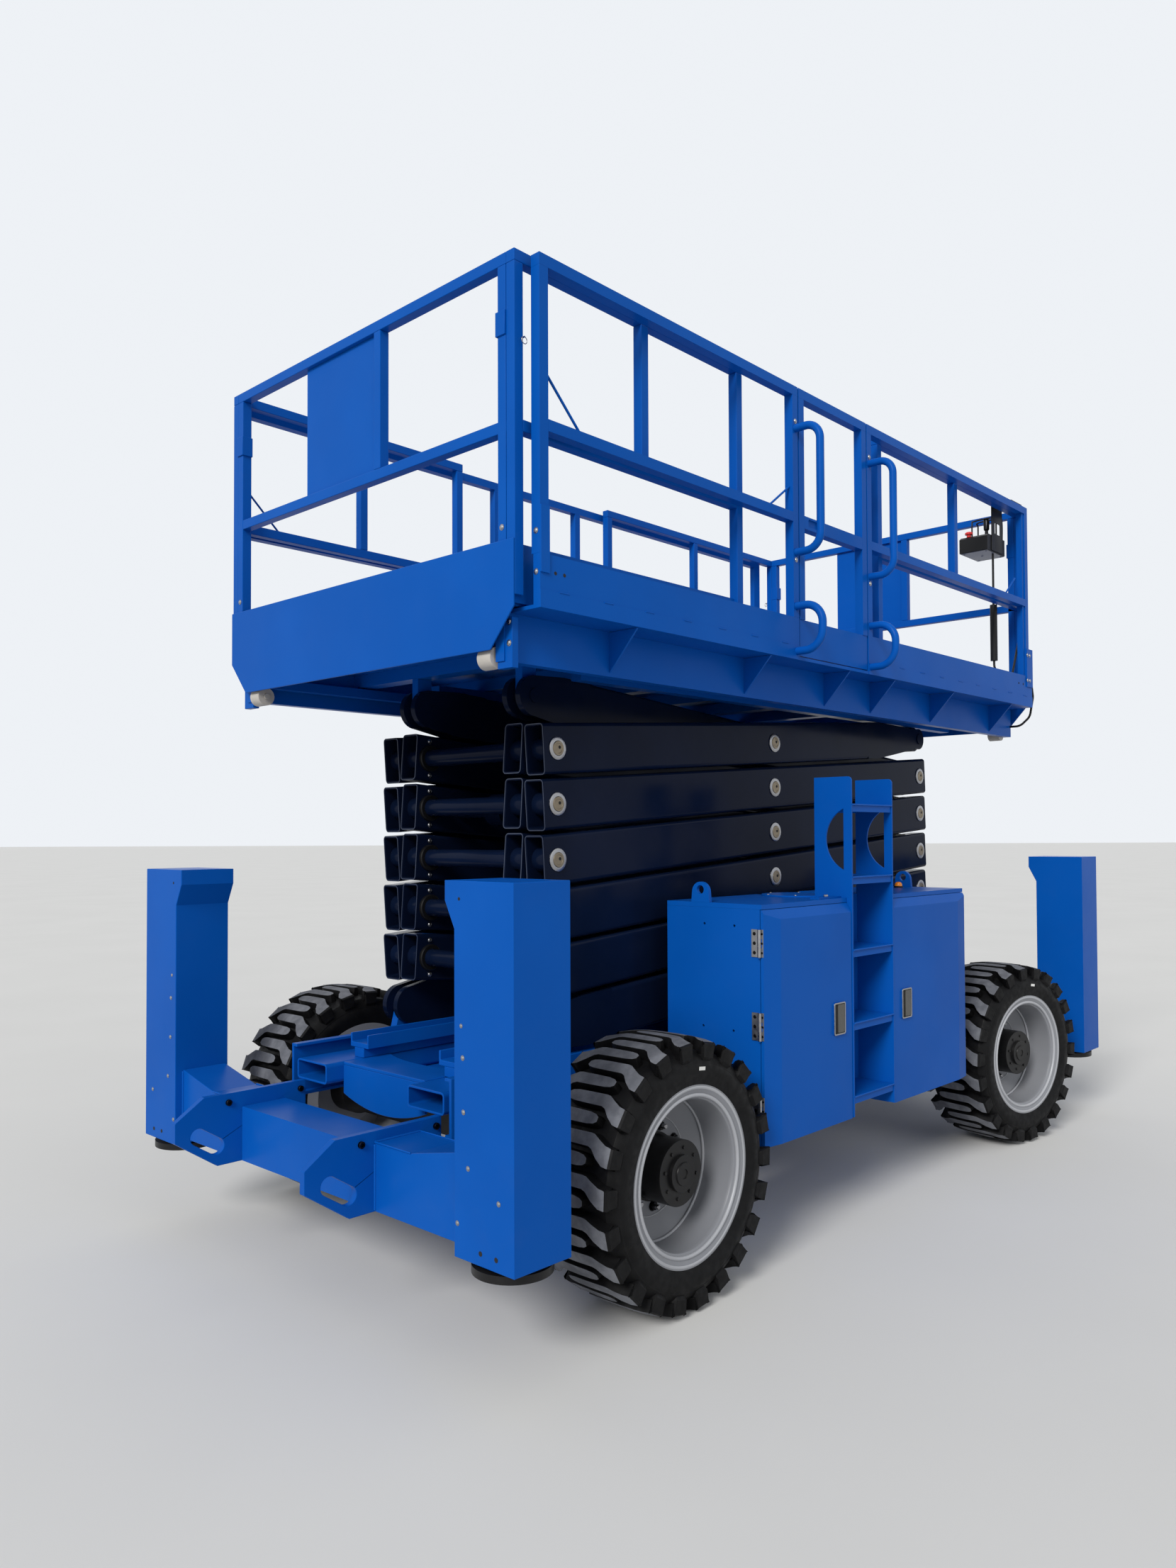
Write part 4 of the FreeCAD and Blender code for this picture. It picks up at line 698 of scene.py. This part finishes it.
def tube_ends(kind, k):
    """A painted highlight: a light grey-blue band over the cut ends of a stage's open tubes."""
    outer_arm = kind == "outer"
    arm_y = OUTER_Y if outer_arm else INNER_Y
    rear_z, front_z = (pin_z(k - 1), pin_z(k)) if outer_arm else (pin_z(k), pin_z(k - 1))
    rear, front = Vector((PIN_REAR_X, 0, rear_z)), Vector((PIN_FRONT_X, 0, front_z))
    ahead = (front - rear).normalized()
    rise = Vector((-ahead.z, 0, ahead.x))
    low_open, high_open = k > 1, k < STAGES
    rear_open, front_open = (low_open, high_open) if outer_arm else (high_open, low_open)
    ends = []
    if rear_open:
        ends.append((rear - ahead * ARM_OVER, -ahead))
    if front_open:
        ends.append((front + ahead * ARM_OVER, ahead))
    outer = rounded(ARM_W - END_OUTER_IN, ARM_H - END_OUTER_IN, ARM_ROUND)
    inner = rounded(ARM_W - END_INNER_IN, ARM_H - END_INNER_IN, ARM_ROUND - END_ROUND_IN)
    shape = Shape()
    for at, out in ends:
        for sign in SIDES:
            middle = at + Vector((0, sign * arm_y, 0)) + out * END_OFF
            shape.band([middle + Vector((0, a, 0)) + rise * b for a, b in outer],
                       [middle + Vector((0, a, 0)) + rise * b for a, b in inner], out * END_T)
    shape.piece(f"{kind}_tube_end_highlights_{k}", f"{kind}_{k}", "painted_edge_highlight", CRISP)


for k in range(1, STAGES + 1):
    outer_pins(k)
    if k < STAGES:
        cross_collars(k)
for k in range(1, STAGES + 1):
    tube_ends("outer", k)
    tube_ends("inner", k)


# Outrigger columns and tie plates

# Columns: how far across, height, head size
COLUMN_BOLTS = ((0.886, 1.031, 0.0052), (0.893, 0.940, 0.0064), (0.896, 0.785, 0.0064),
                (0.916, 0.628, 0.0064), (1.046, 0.556, 0.0064), (0.869, 0.463, 0.0064))
HOLE_T = 0.0005
# Columns: how far across, height, radius
COLUMN_HOLES = ((0.969, 0.400, 0.0075), (1.035, 0.399, 0.0075), (0.877, 1.397, 0.0050))
# Columns: distance from the machine's middle, height
TIE_BOLTS = ((1.984, 0.611), (1.984, 0.506), (2.284, 0.609))
TIE_BOLT = 0.0115
# The beams' weld seams. Columns: one end, the other end, radius
WELD_SEAMS = (
    ((2.049, 0.4262, 0.392), (2.049, 0.4262, 0.600), 0.0042),
    ((2.049, 0.8530, 0.392), (2.049, 0.8530, 0.650), 0.0042),
    ((2.049, 0.4262, 0.607), (2.049, 0.6100, 0.607), 0.0030),
    ((2.231, 0.4262, 0.392), (2.231, 0.4262, 0.600), 0.0042),
    ((2.231, 0.8530, 0.392), (2.231, 0.8530, 0.650), 0.0042),
    ((2.231, 0.4262, 0.607), (2.231, 0.6100, 0.607), 0.0030),
    ((2.049, 0.4262, 0.607), (2.231, 0.4262, 0.607), 0.0045),
)

column_bolts, column_holes, tie_bolts, weld_seams = Shape(), Shape(), Shape(), Shape()
for fore in (-1, 1):
    for sign in SIDES:
        out = Vector((fore, 0, 0))
        for y, z, size in COLUMN_BOLTS:
            column_bolts.bolt((fore * COL_FACE, sign * y, z), out, size)
        for y, z, radius in COLUMN_HOLES:
            # Painted shade: thin dark discs stand in for the holes
            column_holes.lathe([(0.0, radius), (HOLE_T, radius)], (fore * COL_FACE, sign * y, z), out, 16)
        for x, z in TIE_BOLTS:
            tie_bolts.bolt((fore * x, sign * TIE_OUT, z), (0, sign, 0), TIE_BOLT, "socket")
            tie_bolts.bolt((fore * x, sign * (TIE_OUT - TIE_T), z), (0, -sign, 0), TIE_BOLT, "socket")
        for (x0, y0, z0), (x1, y1, z1), radius in WELD_SEAMS:
            weld_seams.bead((fore * x0, sign * y0, z0), (fore * x1, sign * y1, z1), radius)
column_bolts.piece("column_bolts", "chassis", "zinc", CRISP)
column_holes.piece("column_holes", "chassis", "painted_hole_shade")
tie_bolts.piece("tie_plate_bolts", "chassis", "black_bolt", CRISP)
weld_seams.piece("outrigger_weld_beads", "chassis", "blue_paint", SOFT)


# Cabinets: hinges, latches, hatches, beacon

HINGE_HALF = 0.051
KNUCKLE_HALF = 0.017
KNUCKLE_R = 0.0070
KNUCKLE_OUT = 0.007
KNUCKLE_GAP = 0.0006
SCREW_RISES = (-0.035, 0.0, 0.035)
# The leaf on the cabinet and the leaf on the door. Columns: how far off the panel's end, thickness, the
# two edges across from the pin, the screws' place across, screw size
CABINET_LEAF = (0.0023, 0.0012, -0.037, -0.0005, -0.024, 0.0068)
DOOR_LEAF = (0.0001, 0.0016, 0.0020, 0.0140, 0.0085, 0.0045)
SCREW_SINK = 0.0002
REAR_LATCH_X = -0.4790
FRONT_LATCH_X = 0.0790
LATCH_MIDDLE = 0.0425
# Rounded outlines. Columns: width, height, corner radius
LATCH_PLATE = (0.0850, 0.1280, 0.008)
LATCH_HOLE = (0.0740, 0.1170, 0.005)
LATCH_PADDLE = (0.0480, 0.1120, 0.004)
LATCH_PLATE_T = 0.0045
LATCH_HOLE_T = 0.0004
PADDLE_T = 0.0034
PADDLE_OFF = 0.0120
HATCH_AT = (-0.300, 0.760)
HATCH = ((0.0002, 0.150), (0.0045, 0.150), (0.0060, 0.1485))
HATCH_BOLT = 0.0055
HATCH_BOLTS = 6
HATCH_BOLT_TURN = 30
HATCH_BOLT_R = 0.135
HATCH_BOLT_Z = CAB_Z1 + 0.0058
CORNER_BOLT = 0.0085
CORNER_BOLT_AT = (-0.415, 0.970, CAB_Z1 + 0.0083)
BEACON_AT = (0.610, -0.750, CAB_Z1)
BEACON_BASE = ((0.0002, 0.022), (0.006, 0.022), (0.008, 0.020))
BEACON_LENS = ((0.0078, 0.018), (0.018, 0.017), (0.024, 0.013), (0.027, 0.006), (0.0275, 0.001))


def hinge_leaf(leaf, screws, sizes, sign, x0, way, z):
    """One leaf of a hinge and its three screws."""
    off, thick, low, high, across, size = sizes
    face = x0 + way * off
    leaf.block((face, sign * (HINGE_Y + low), z - HINGE_HALF),
               (face + way * thick, sign * (HINGE_Y + high), z + HINGE_HALF))
    for rise in SCREW_RISES:
        place = (face + way * (thick - SCREW_SINK), sign * (HINGE_Y + across), z + rise)
        screws.bolt(place, (way, 0, 0), size, "flat")


def hinges(sign, x0, way, door):
    """Zinc leaves, knuckles and screws over a door's three hinges; way is +1 towards the front."""
    fixed, moving, screws, door_screws = Shape(), Shape(), Shape(), Shape()
    for z in HINGE_Z:
        pin = (x0 + way * KNUCKLE_OUT, sign * HINGE_Y, z)
        half = KNUCKLE_HALF - KNUCKLE_GAP
        hinge_leaf(fixed, screws, CABINET_LEAF, sign, x0, way, z)
        for low, high in ((-HINGE_HALF, -KNUCKLE_HALF), (KNUCKLE_HALF, HINGE_HALF)):
            fixed.lathe([(low, KNUCKLE_R), (high, KNUCKLE_R)], pin, UP, 20)
        moving.lathe([(-half, KNUCKLE_R), (half, KNUCKLE_R)], pin, UP, 20)
        hinge_leaf(moving, door_screws, DOOR_LEAF, sign, x0, way, z)
    fixed.piece(f"{door}_hinge_leaves", "chassis", "zinc", CRISP)
    screws.piece(f"{door}_hinge_screws", "chassis", "black_bolt", CRISP)
    moving.piece(f"{door}_hinge_knuckles", door, "zinc", CRISP)
    door_screws.piece(f"{door}_hinge_door_screws", door, "black_bolt", CRISP)


def latch(sign, x0, door):
    """A stainless flush latch with its paddle, from its smaller x; a flat near-black sheet paints the shade
    in its dark recess.
    """
    plate, recess, paddle = Shape(), Shape(), Shape()

    def around(size, off=0.0):
        """A rounded outline about the latch's middle."""
        return [(x0 + LATCH_MIDDLE + off + a, sign * LATCH_Y, LATCH_Z + b) for a, b in rounded(*size)]

    plate.band(around(LATCH_PLATE), around(LATCH_HOLE), (0, sign * LATCH_PLATE_T, 0))
    # Painted shade: a flat near-black sheet over the recess
    recess.outline(around(LATCH_HOLE), (0, sign * LATCH_HOLE_T, 0))
    paddle.outline(around(LATCH_PADDLE, PADDLE_OFF), (0, sign * PADDLE_T, 0))
    plate.piece(f"{door}_latch_frame", door, "zinc", CRISP, PLATE_EDGE)
    recess.piece(f"{door}_latch_recess", door, "painted_hole_shade")
    paddle.piece(f"{door}_latch_paddle", door, "paddle_grey", CRISP, PLATE_EDGE)


for side, sign in (("left", 1), ("right", -1)):
    hinges(sign, CAB_X0, -1, f"{side}_rear_door")
    hinges(sign, CAB_X1, 1, f"{side}_front_door")
    latch(sign, REAR_LATCH_X, f"{side}_rear_door")
    latch(sign, FRONT_LATCH_X, f"{side}_front_door")

hatches, hatch_bolts, beacon_base, beacon = Shape(), Shape(), Shape(), Shape()
hatch_x, hatch_y = HATCH_AT
for sign in SIDES:
    hatches.lathe(HATCH, (hatch_x, sign * hatch_y, CAB_Z1), UP, 64)
    for i in range(HATCH_BOLTS):
        a = math.radians(HATCH_BOLT_TURN + 360 / HATCH_BOLTS * i)
        x, y = hatch_x + HATCH_BOLT_R * math.cos(a), sign * hatch_y + HATCH_BOLT_R * math.sin(a)
        hatch_bolts.bolt((x, y, HATCH_BOLT_Z), UP, HATCH_BOLT)
    x, y, z = CORNER_BOLT_AT
    hatch_bolts.bolt((x, sign * y, z), UP, CORNER_BOLT, "hex")
hatches.piece("roof_hatches", "chassis", "blue_paint", CRISP)
hatch_bolts.piece("roof_bolts", "chassis", "zinc", CRISP)
beacon_base.lathe(BEACON_BASE, BEACON_AT, UP, 32)
beacon.lathe(BEACON_LENS, BEACON_AT, UP, 32)
beacon_base.piece("beacon_base", "chassis", "black_steel", CRISP)
beacon.piece("beacon_lens", "chassis", "beacon_amber", SOFT)


# Platform: skirt seam, bolts, holes, brackets

SEAM_Z = FLOOR_Z + 0.045
SEAM_Z0 = FLOOR_Z - 0.012
SEAM_T = 0.0022
STITCH_PITCH = 0.21
STITCH_HALF = 0.022
STITCH_Y = DECK_Y + 0.0016
STITCH_R = 0.0024
STITCH_STEP = 0.005
STAND_OFF = 0.0001
GATE_GAP = (-0.5090, 0.0490)
# Columns: place along the skirt, height
SKIRT_HOLES = ((-1.900, 2.400), (-1.860, 2.400), (1.800, 2.405), (1.740, 2.405), (1.680, 2.405))
SKIRT_HOLE = ((0.0, 0.0060), (HOLE_T, 0.0060))
POST_BOLT = 0.0080
HANDLE_BOLT_Z = (3.252, 2.688)
END_POST_BOLT_Y = 0.8970
END_POST_BOLT_Z = (2.398, 2.526)
FRONT_POST_BOLT_X = (1.786, 1.818)
FRONT_POST_BOLT_Y = 0.9204
FRONT_POST_BOLT_Z = (2.430, 2.570)
# Roller brackets at three corners; the control cable passes the fourth. Columns: way along the
# machine, side, the deck's end
ROLLER_CORNERS = ((-1, -1, DECK_X0), (-1, 1, DECK_X0), (1, 1, DECK_X1))
BRACKET_IN = 0.004
BRACKET_OUT = 0.023
BRACKET_Y = (0.7440, 0.8120)
BRACKET_DROP = (0.190, 0.030)
BRACKET_FACE = 0.0229
BRACKET_BOLT = 0.0085
BRACKET_BOLT_Y = 0.7980
BRACKET_BOLT_DROPS = (0.045, 0.112)
ROLLER_PIN = 0.0090
ROLLER_PIN_Y = 0.7620
ROLLER_PIN_DROP = 0.148
# Braces in the plane of the rails. Columns: x and z of the two ends
BRACES = (((-1.930, 3.040), (-1.765, 2.8790)), ((-0.690, 2.8790), (-0.5455, 2.985)),
          ((1.560, 2.8790), (1.690, 2.985)))
BRACE_Y = 0.8960
BRACE_R = 0.0045
RUNGS = 5
NOSING_R = 0.0038
NOSING_DROP = 0.003

seams, stitches, skirt_holes = Shape(), Shape(), Shape()
for sign in SIDES:
    if sign > 0:
        runs = ((DECK_X0, DECK_X1),)
    else:
        runs = ((DECK_X0, GATE_GAP[0]), (GATE_GAP[1], DECK_X1))
    for x0, x1 in runs:
        seams.block((x0, sign * (DECK_Y + STAND_OFF), SEAM_Z0), (x1, sign * (DECK_Y + SEAM_T), SEAM_Z))
        count = max(1, round((x1 - x0) / STITCH_PITCH))
        for i in range(count):
            x = x0 + (x1 - x0) * (i + 0.5) / count
            stitches.bead((x - STITCH_HALF, sign * STITCH_Y, SEAM_Z),
                          (x + STITCH_HALF, sign * STITCH_Y, SEAM_Z), STITCH_R, STITCH_STEP)
    for x, z in SKIRT_HOLES:
        # Painted shade: thin dark discs stand in for the holes
        skirt_holes.lathe(SKIRT_HOLE, (x, sign * (DECK_Y + STAND_OFF), z), (0, sign, 0), 16)
seams.piece("skirt_flanges", "platform", "blue_paint", CRISP)
stitches.piece("skirt_stitches", "platform", "blue_paint", SOFT)
skirt_holes.piece("skirt_holes", "platform", "painted_hole_shade")

posts = Shape()
for x in (GATE_X0, GATE_X1):
    for z in HANDLE_BOLT_Z:
        posts.bolt((x, -DECK_Y, z), (0, -1, 0), POST_BOLT)
for sign in SIDES:
    for z in END_POST_BOLT_Z:
        posts.bolt((DECK_X0 - STAND_OFF, sign * END_POST_BOLT_Y, z), (-1, 0, 0), POST_BOLT)
    for x in FRONT_POST_BOLT_X:
        for z in FRONT_POST_BOLT_Z:
            posts.bolt((x, sign * FRONT_POST_BOLT_Y, z), (0, sign, 0), POST_BOLT)
posts.piece("post_bolts", "platform", "zinc", CRISP)

brackets, bracket_bolts, roller_pins = Shape(), Shape(), Shape()
for way, sign, edge_x in ROLLER_CORNERS:
    x0, x1 = sorted((edge_x - way * BRACKET_IN, edge_x + way * BRACKET_OUT))
    (y0, y1), (drop0, drop1) = BRACKET_Y, BRACKET_DROP
    brackets.block((x0, sign * y0, FLOOR_Z - drop0), (x1, sign * y1, FLOOR_Z - drop1))
    face = edge_x + way * BRACKET_FACE
    for drop in BRACKET_BOLT_DROPS:
        bracket_bolts.bolt((face, sign * BRACKET_BOLT_Y, FLOOR_Z - drop), (way, 0, 0), BRACKET_BOLT)
    pin_at = (face, sign * ROLLER_PIN_Y, FLOOR_Z - ROLLER_PIN_DROP)
    roller_pins.bolt(pin_at, (way, 0, 0), ROLLER_PIN, "flat")
brackets.piece("roller_brackets", "platform", "blue_paint", CRISP, BLOCK_EDGE)
bracket_bolts.piece("roller_bracket_bolts", "platform", "zinc", CRISP)
roller_pins.piece("roller_pin_heads", "platform", "brass", CRISP)

# Rounded nosings on the ladder's rungs
nosings = Shape()
for i in range(RUNGS):
    rung_z = RUNG_Z0 + RUNG_PITCH * i - NOSING_DROP
    nosings.wire([(LADDER_X0, -LADDER_FRONT, rung_z), (LADDER_X1, -LADDER_FRONT, rung_z)], NOSING_R)
nosings.piece("rung_nosings", "chassis", "blue_paint", SOFT)

# Short corner braces between the mid rail and the posts
braces = Shape()
for sign in SIDES:
    for (x0, z0), (x1, z1) in BRACES:
        braces.wire([(x0, sign * BRACE_Y, z0), (x1, sign * BRACE_Y, z1)], BRACE_R)
braces.piece("rail_braces", "platform", "blue_paint", SOFT)


# Deck extensions: side boards, doubled end posts, clips and ring pins

# Columns: which end, the way it slides out, the place of its end plate
EXTENSIONS = (("rear", -1, REAR_PLATE_X), ("front", 1, FRONT_PLATE_X))
BOARD_X1 = -0.830
# Side board and its top flange. Columns: the two faces across, the two heights above the floor
BOARDS = ((0.8365, 0.8395, 0.008, 0.195), (0.8220, 0.8366, 0.192, 0.195))
# Second post and the clip round it. Columns: how far past and behind the end's face, the two faces
# across, the two heights above the floor
END_POSTS = ((0.0012, 0.0380, 0.7800, 0.8170, 0.032, 1.075),
             (0.0065, 0.0400, 0.7740, 0.8180, 0.852, 0.930))
PLATE_GAP = 0.0003
RING_R = 0.011
RING_WIRE = 0.0014
# How far behind the end's face, how far across and how high above the floor
RING_AT = (0.0300, 0.8700, 0.826)
PIN_WIRE = 0.0030
PIN_INWARD = 0.0150
PIN_OUTWARD = 0.0010
RING_TURNS = 16
# How far past the end's face, how far across and how high above the floor
EXTENSION_BOLT_AT = (0.0012, 0.7985, 0.247)

boards = Shape()
for sign in SIDES:
    for y0, y1, z0, z1 in BOARDS:
        boards.block((REAR_PLATE_X, sign * y0, FLOOR_Z + z0), (BOARD_X1, sign * y1, FLOOR_Z + z1))
boards.piece("rear_extension_side_boards", "rear_extension", "blue_paint", CRISP)

for end, way, plate_x in EXTENSIONS:
    doubles, rings, bolts = Shape(), Shape(), Shape()
    face = plate_x - way * PLATE_GAP
    for sign in SIDES:
        for past, behind, y0, y1, z0, z1 in END_POSTS:
            x0, x1 = sorted((face + way * past, face - way * behind))
            doubles.block((x0, sign * y0, FLOOR_Z + z0), (x1, sign * y1, FLOOR_Z + z1))
        past, across, height = EXTENSION_BOLT_AT
        bolts.bolt((face + way * past, sign * across, FLOOR_Z + height), (way, 0, 0), POST_BOLT)
        behind, across, height = RING_AT
        eye = Vector((face - way * behind, sign * across, FLOOR_Z + height))
        top = eye + UP * RING_R
        pin_ends = [top - Vector((0, sign * PIN_INWARD, 0)), top + Vector((0, sign * PIN_OUTWARD, 0))]
        rings.wire(pin_ends, PIN_WIRE)
        turns = [2 * math.pi * i / RING_TURNS for i in range(RING_TURNS + 1)]
        circle = [eye + Vector((RING_R * math.sin(a), 0, RING_R * math.cos(a))) for a in turns]
        rings.wire(circle, RING_WIRE)
    body = f"{end}_extension"
    doubles.piece(f"{end}_extension_end_posts", body, "blue_paint", CRISP, BLOCK_EDGE)
    rings.piece(f"{end}_extension_ring_pins", body, "zinc", SOFT)
    bolts.piece(f"{end}_extension_post_bolts", body, "zinc", CRISP)


# Control box: panel, stop button, lever, guard and base plate

STOP_AT = (1.586, -0.684, BOX_TOP)
STOP_BUTTON = ((0.0, 0.012), (0.014, 0.012), (0.015, 0.021), (0.024, 0.021), (0.028, 0.017))
LEVER_AT = (1.735, -0.720, BOX_TOP)
LEVER = ((0.0, 0.024), (0.010, 0.020), (0.016, 0.010), (0.060, 0.009), (0.066, 0.015), (0.120, 0.017),
         (0.132, 0.010))
PANEL = ((1.612, -0.790, BOX_TOP), (1.700, -0.650, 3.2330))
BASE_PLATE = ((1.565, -0.795, BOX_BASE), (1.785, -0.645, 3.1399))
BASE_BOLT = 0.0055
BASE_BOLTS = ((1.580, -0.785), (1.770, -0.785), (1.580, -0.660), (1.770, -0.660), (1.675, -0.720))
GUARD_R = 0.0045
# The guard's two hoops. Columns: where a hoop stands, where its top leans to
GUARD_HOOPS = ((1.700, 1.715), (1.778, 1.763))
# A hoop's points. Columns: on the leaning top or not, place across, height
HOOP = ((False, -0.652, 3.231), (False, -0.652, 3.330), (True, -0.660, 3.352), (True, -0.780, 3.352),
        (False, -0.790, 3.330), (False, -0.790, 3.231))

panel, stop, lever, guard, base = Shape(), Shape(), Shape(), Shape(), Shape()
stop.lathe(STOP_BUTTON, STOP_AT, UP, 28)
lever.lathe(LEVER, LEVER_AT, UP, 24)
panel.block(*PANEL)
base.block(*BASE_PLATE)
for x, y in BASE_BOLTS:
    base.bolt((x, y, BOX_BASE), -UP, BASE_BOLT)
for foot_x, top_x in GUARD_HOOPS:
    guard.wire([(top_x if leans else foot_x, y, z) for leans, y, z in HOOP], GUARD_R)
panel.piece("control_panel", "platform", "paddle_grey", CRISP, PLATE_EDGE)
stop.piece("stop_button", "platform", "stop_red", ROUNDED)
lever.piece("control_lever", "platform", "black_bolt", ROUNDED)
guard.piece("control_guard", "platform", "black_steel", SOFT)
base.piece("control_box_base", "platform", "rim_grey", CRISP)


# Camera, light and floor

SKY = (0.90, 0.93, 0.97, 1)
SKY_LIGHT = 0.52          # strength as light on matt surfaces
SKY_SEEN = 0.95           # strength to the eye, in reflections and through glass
FLOOR_HALF = 300.0
FLOOR_DARK = (0.66, 0.655, 0.64)
FLOOR_PALE = (0.72, 0.715, 0.70)
# Columns: name, the way it shines, strength, spread in degrees, tint
LAMPS = (("key", (0.80, 0.26, -0.54), 2.45, 20.0, (1.0, 0.985, 0.96)),
         ("fill", (0.25, 0.90, -0.45), 0.25, 50.0, (1.0, 1.0, 1.0)))


def camera():
    """The camera that took the photo, with its small tilt, roll and lens shift."""
    data = bpy.data.cameras.new("camera")
    data.lens = CAMERA_LENS
    data.shift_y = CAMERA_SHIFT
    data.sensor_width = 36.0
    data.clip_end = 200.0
    made = bpy.data.objects.new("camera", data)
    bpy.context.scene.collection.objects.link(made)
    level = Vector((math.sin(CAMERA_YAW), -math.cos(CAMERA_YAW), 0))
    flat = Vector((math.cos(CAMERA_YAW), math.sin(CAMERA_YAW), 0))
    ahead = flat * math.cos(CAMERA_PITCH) + UP * math.sin(CAMERA_PITCH)
    above = level.cross(ahead)
    right = level * math.cos(CAMERA_ROLL) + above * math.sin(CAMERA_ROLL)
    up = above * math.cos(CAMERA_ROLL) - level * math.sin(CAMERA_ROLL)
    turn = Matrix((right, up, -ahead)).transposed().to_4x4()
    made.matrix_world = Matrix.Translation(CAMERA_AT) @ turn
    bpy.context.scene.camera = made


def sun(name, direction, strength, spread, tint):
    """A soft far lamp that shines along a direction."""
    data = bpy.data.lights.new(name, "SUN")
    data.energy = strength
    data.angle = math.radians(spread)
    data.color = tint
    made = bpy.data.objects.new(name, data)
    bpy.context.scene.collection.objects.link(made)
    made.rotation_euler = Vector(direction).to_track_quat("-Z", "Y").to_euler()


def sky():
    """A pale sky that is brighter to the eye and in reflections than as light."""
    world = bpy.data.worlds.new("studio")
    bpy.context.scene.world = world
    world.use_nodes = True
    tree = world.node_tree
    background = tree.nodes["Background"]
    background.inputs["Color"].default_value = SKY
    paths = tree.nodes.new("ShaderNodeLightPath")
    total = paths.outputs["Is Camera Ray"]
    for ray in ("Is Glossy Ray", "Is Transmission Ray"):
        seen = tree.nodes.new("ShaderNodeMath")
        seen.operation = "MAXIMUM"
        tree.links.new(total, seen.inputs[0])
        tree.links.new(paths.outputs[ray], seen.inputs[1])
        total = seen.outputs[0]
    strength = tree.nodes.new("ShaderNodeMapRange")
    strength.inputs["To Min"].default_value = SKY_LIGHT
    strength.inputs["To Max"].default_value = SKY_SEEN
    tree.links.new(total, strength.inputs["Value"])
    tree.links.new(strength.outputs["Result"], background.inputs["Strength"])


def ground():
    """A plain pale floor."""
    far = FLOOR_HALF
    mesh = bpy.data.meshes.new("floor")
    mesh.from_pydata([(-far, -far, 0), (far, -far, 0), (far, far, 0), (-far, far, 0)], [], [(0, 1, 2, 3)])
    floor = bpy.data.objects.new("floor", mesh)
    bpy.context.scene.collection.objects.link(floor)
    material, tree, shader = node_tree("floor")
    colours = mixed(tree, noise(tree, 0.7, 6.0), FLOOR_DARK, FLOOR_PALE)
    tree.links.new(colours, shader.inputs["Base Color"])
    shader.inputs["Roughness"].default_value = 0.85
    bump(tree, shader, noise(tree, 90.0, 4.0), 0.06, 0.002)
    floor.data.materials.append(material)


camera()
sky()
ground()
for name, direction, strength, spread, tint in LAMPS:
    sun(name, direction, strength, spread, tint)
bpy.context.scene.view_settings.view_transform = "Standard"
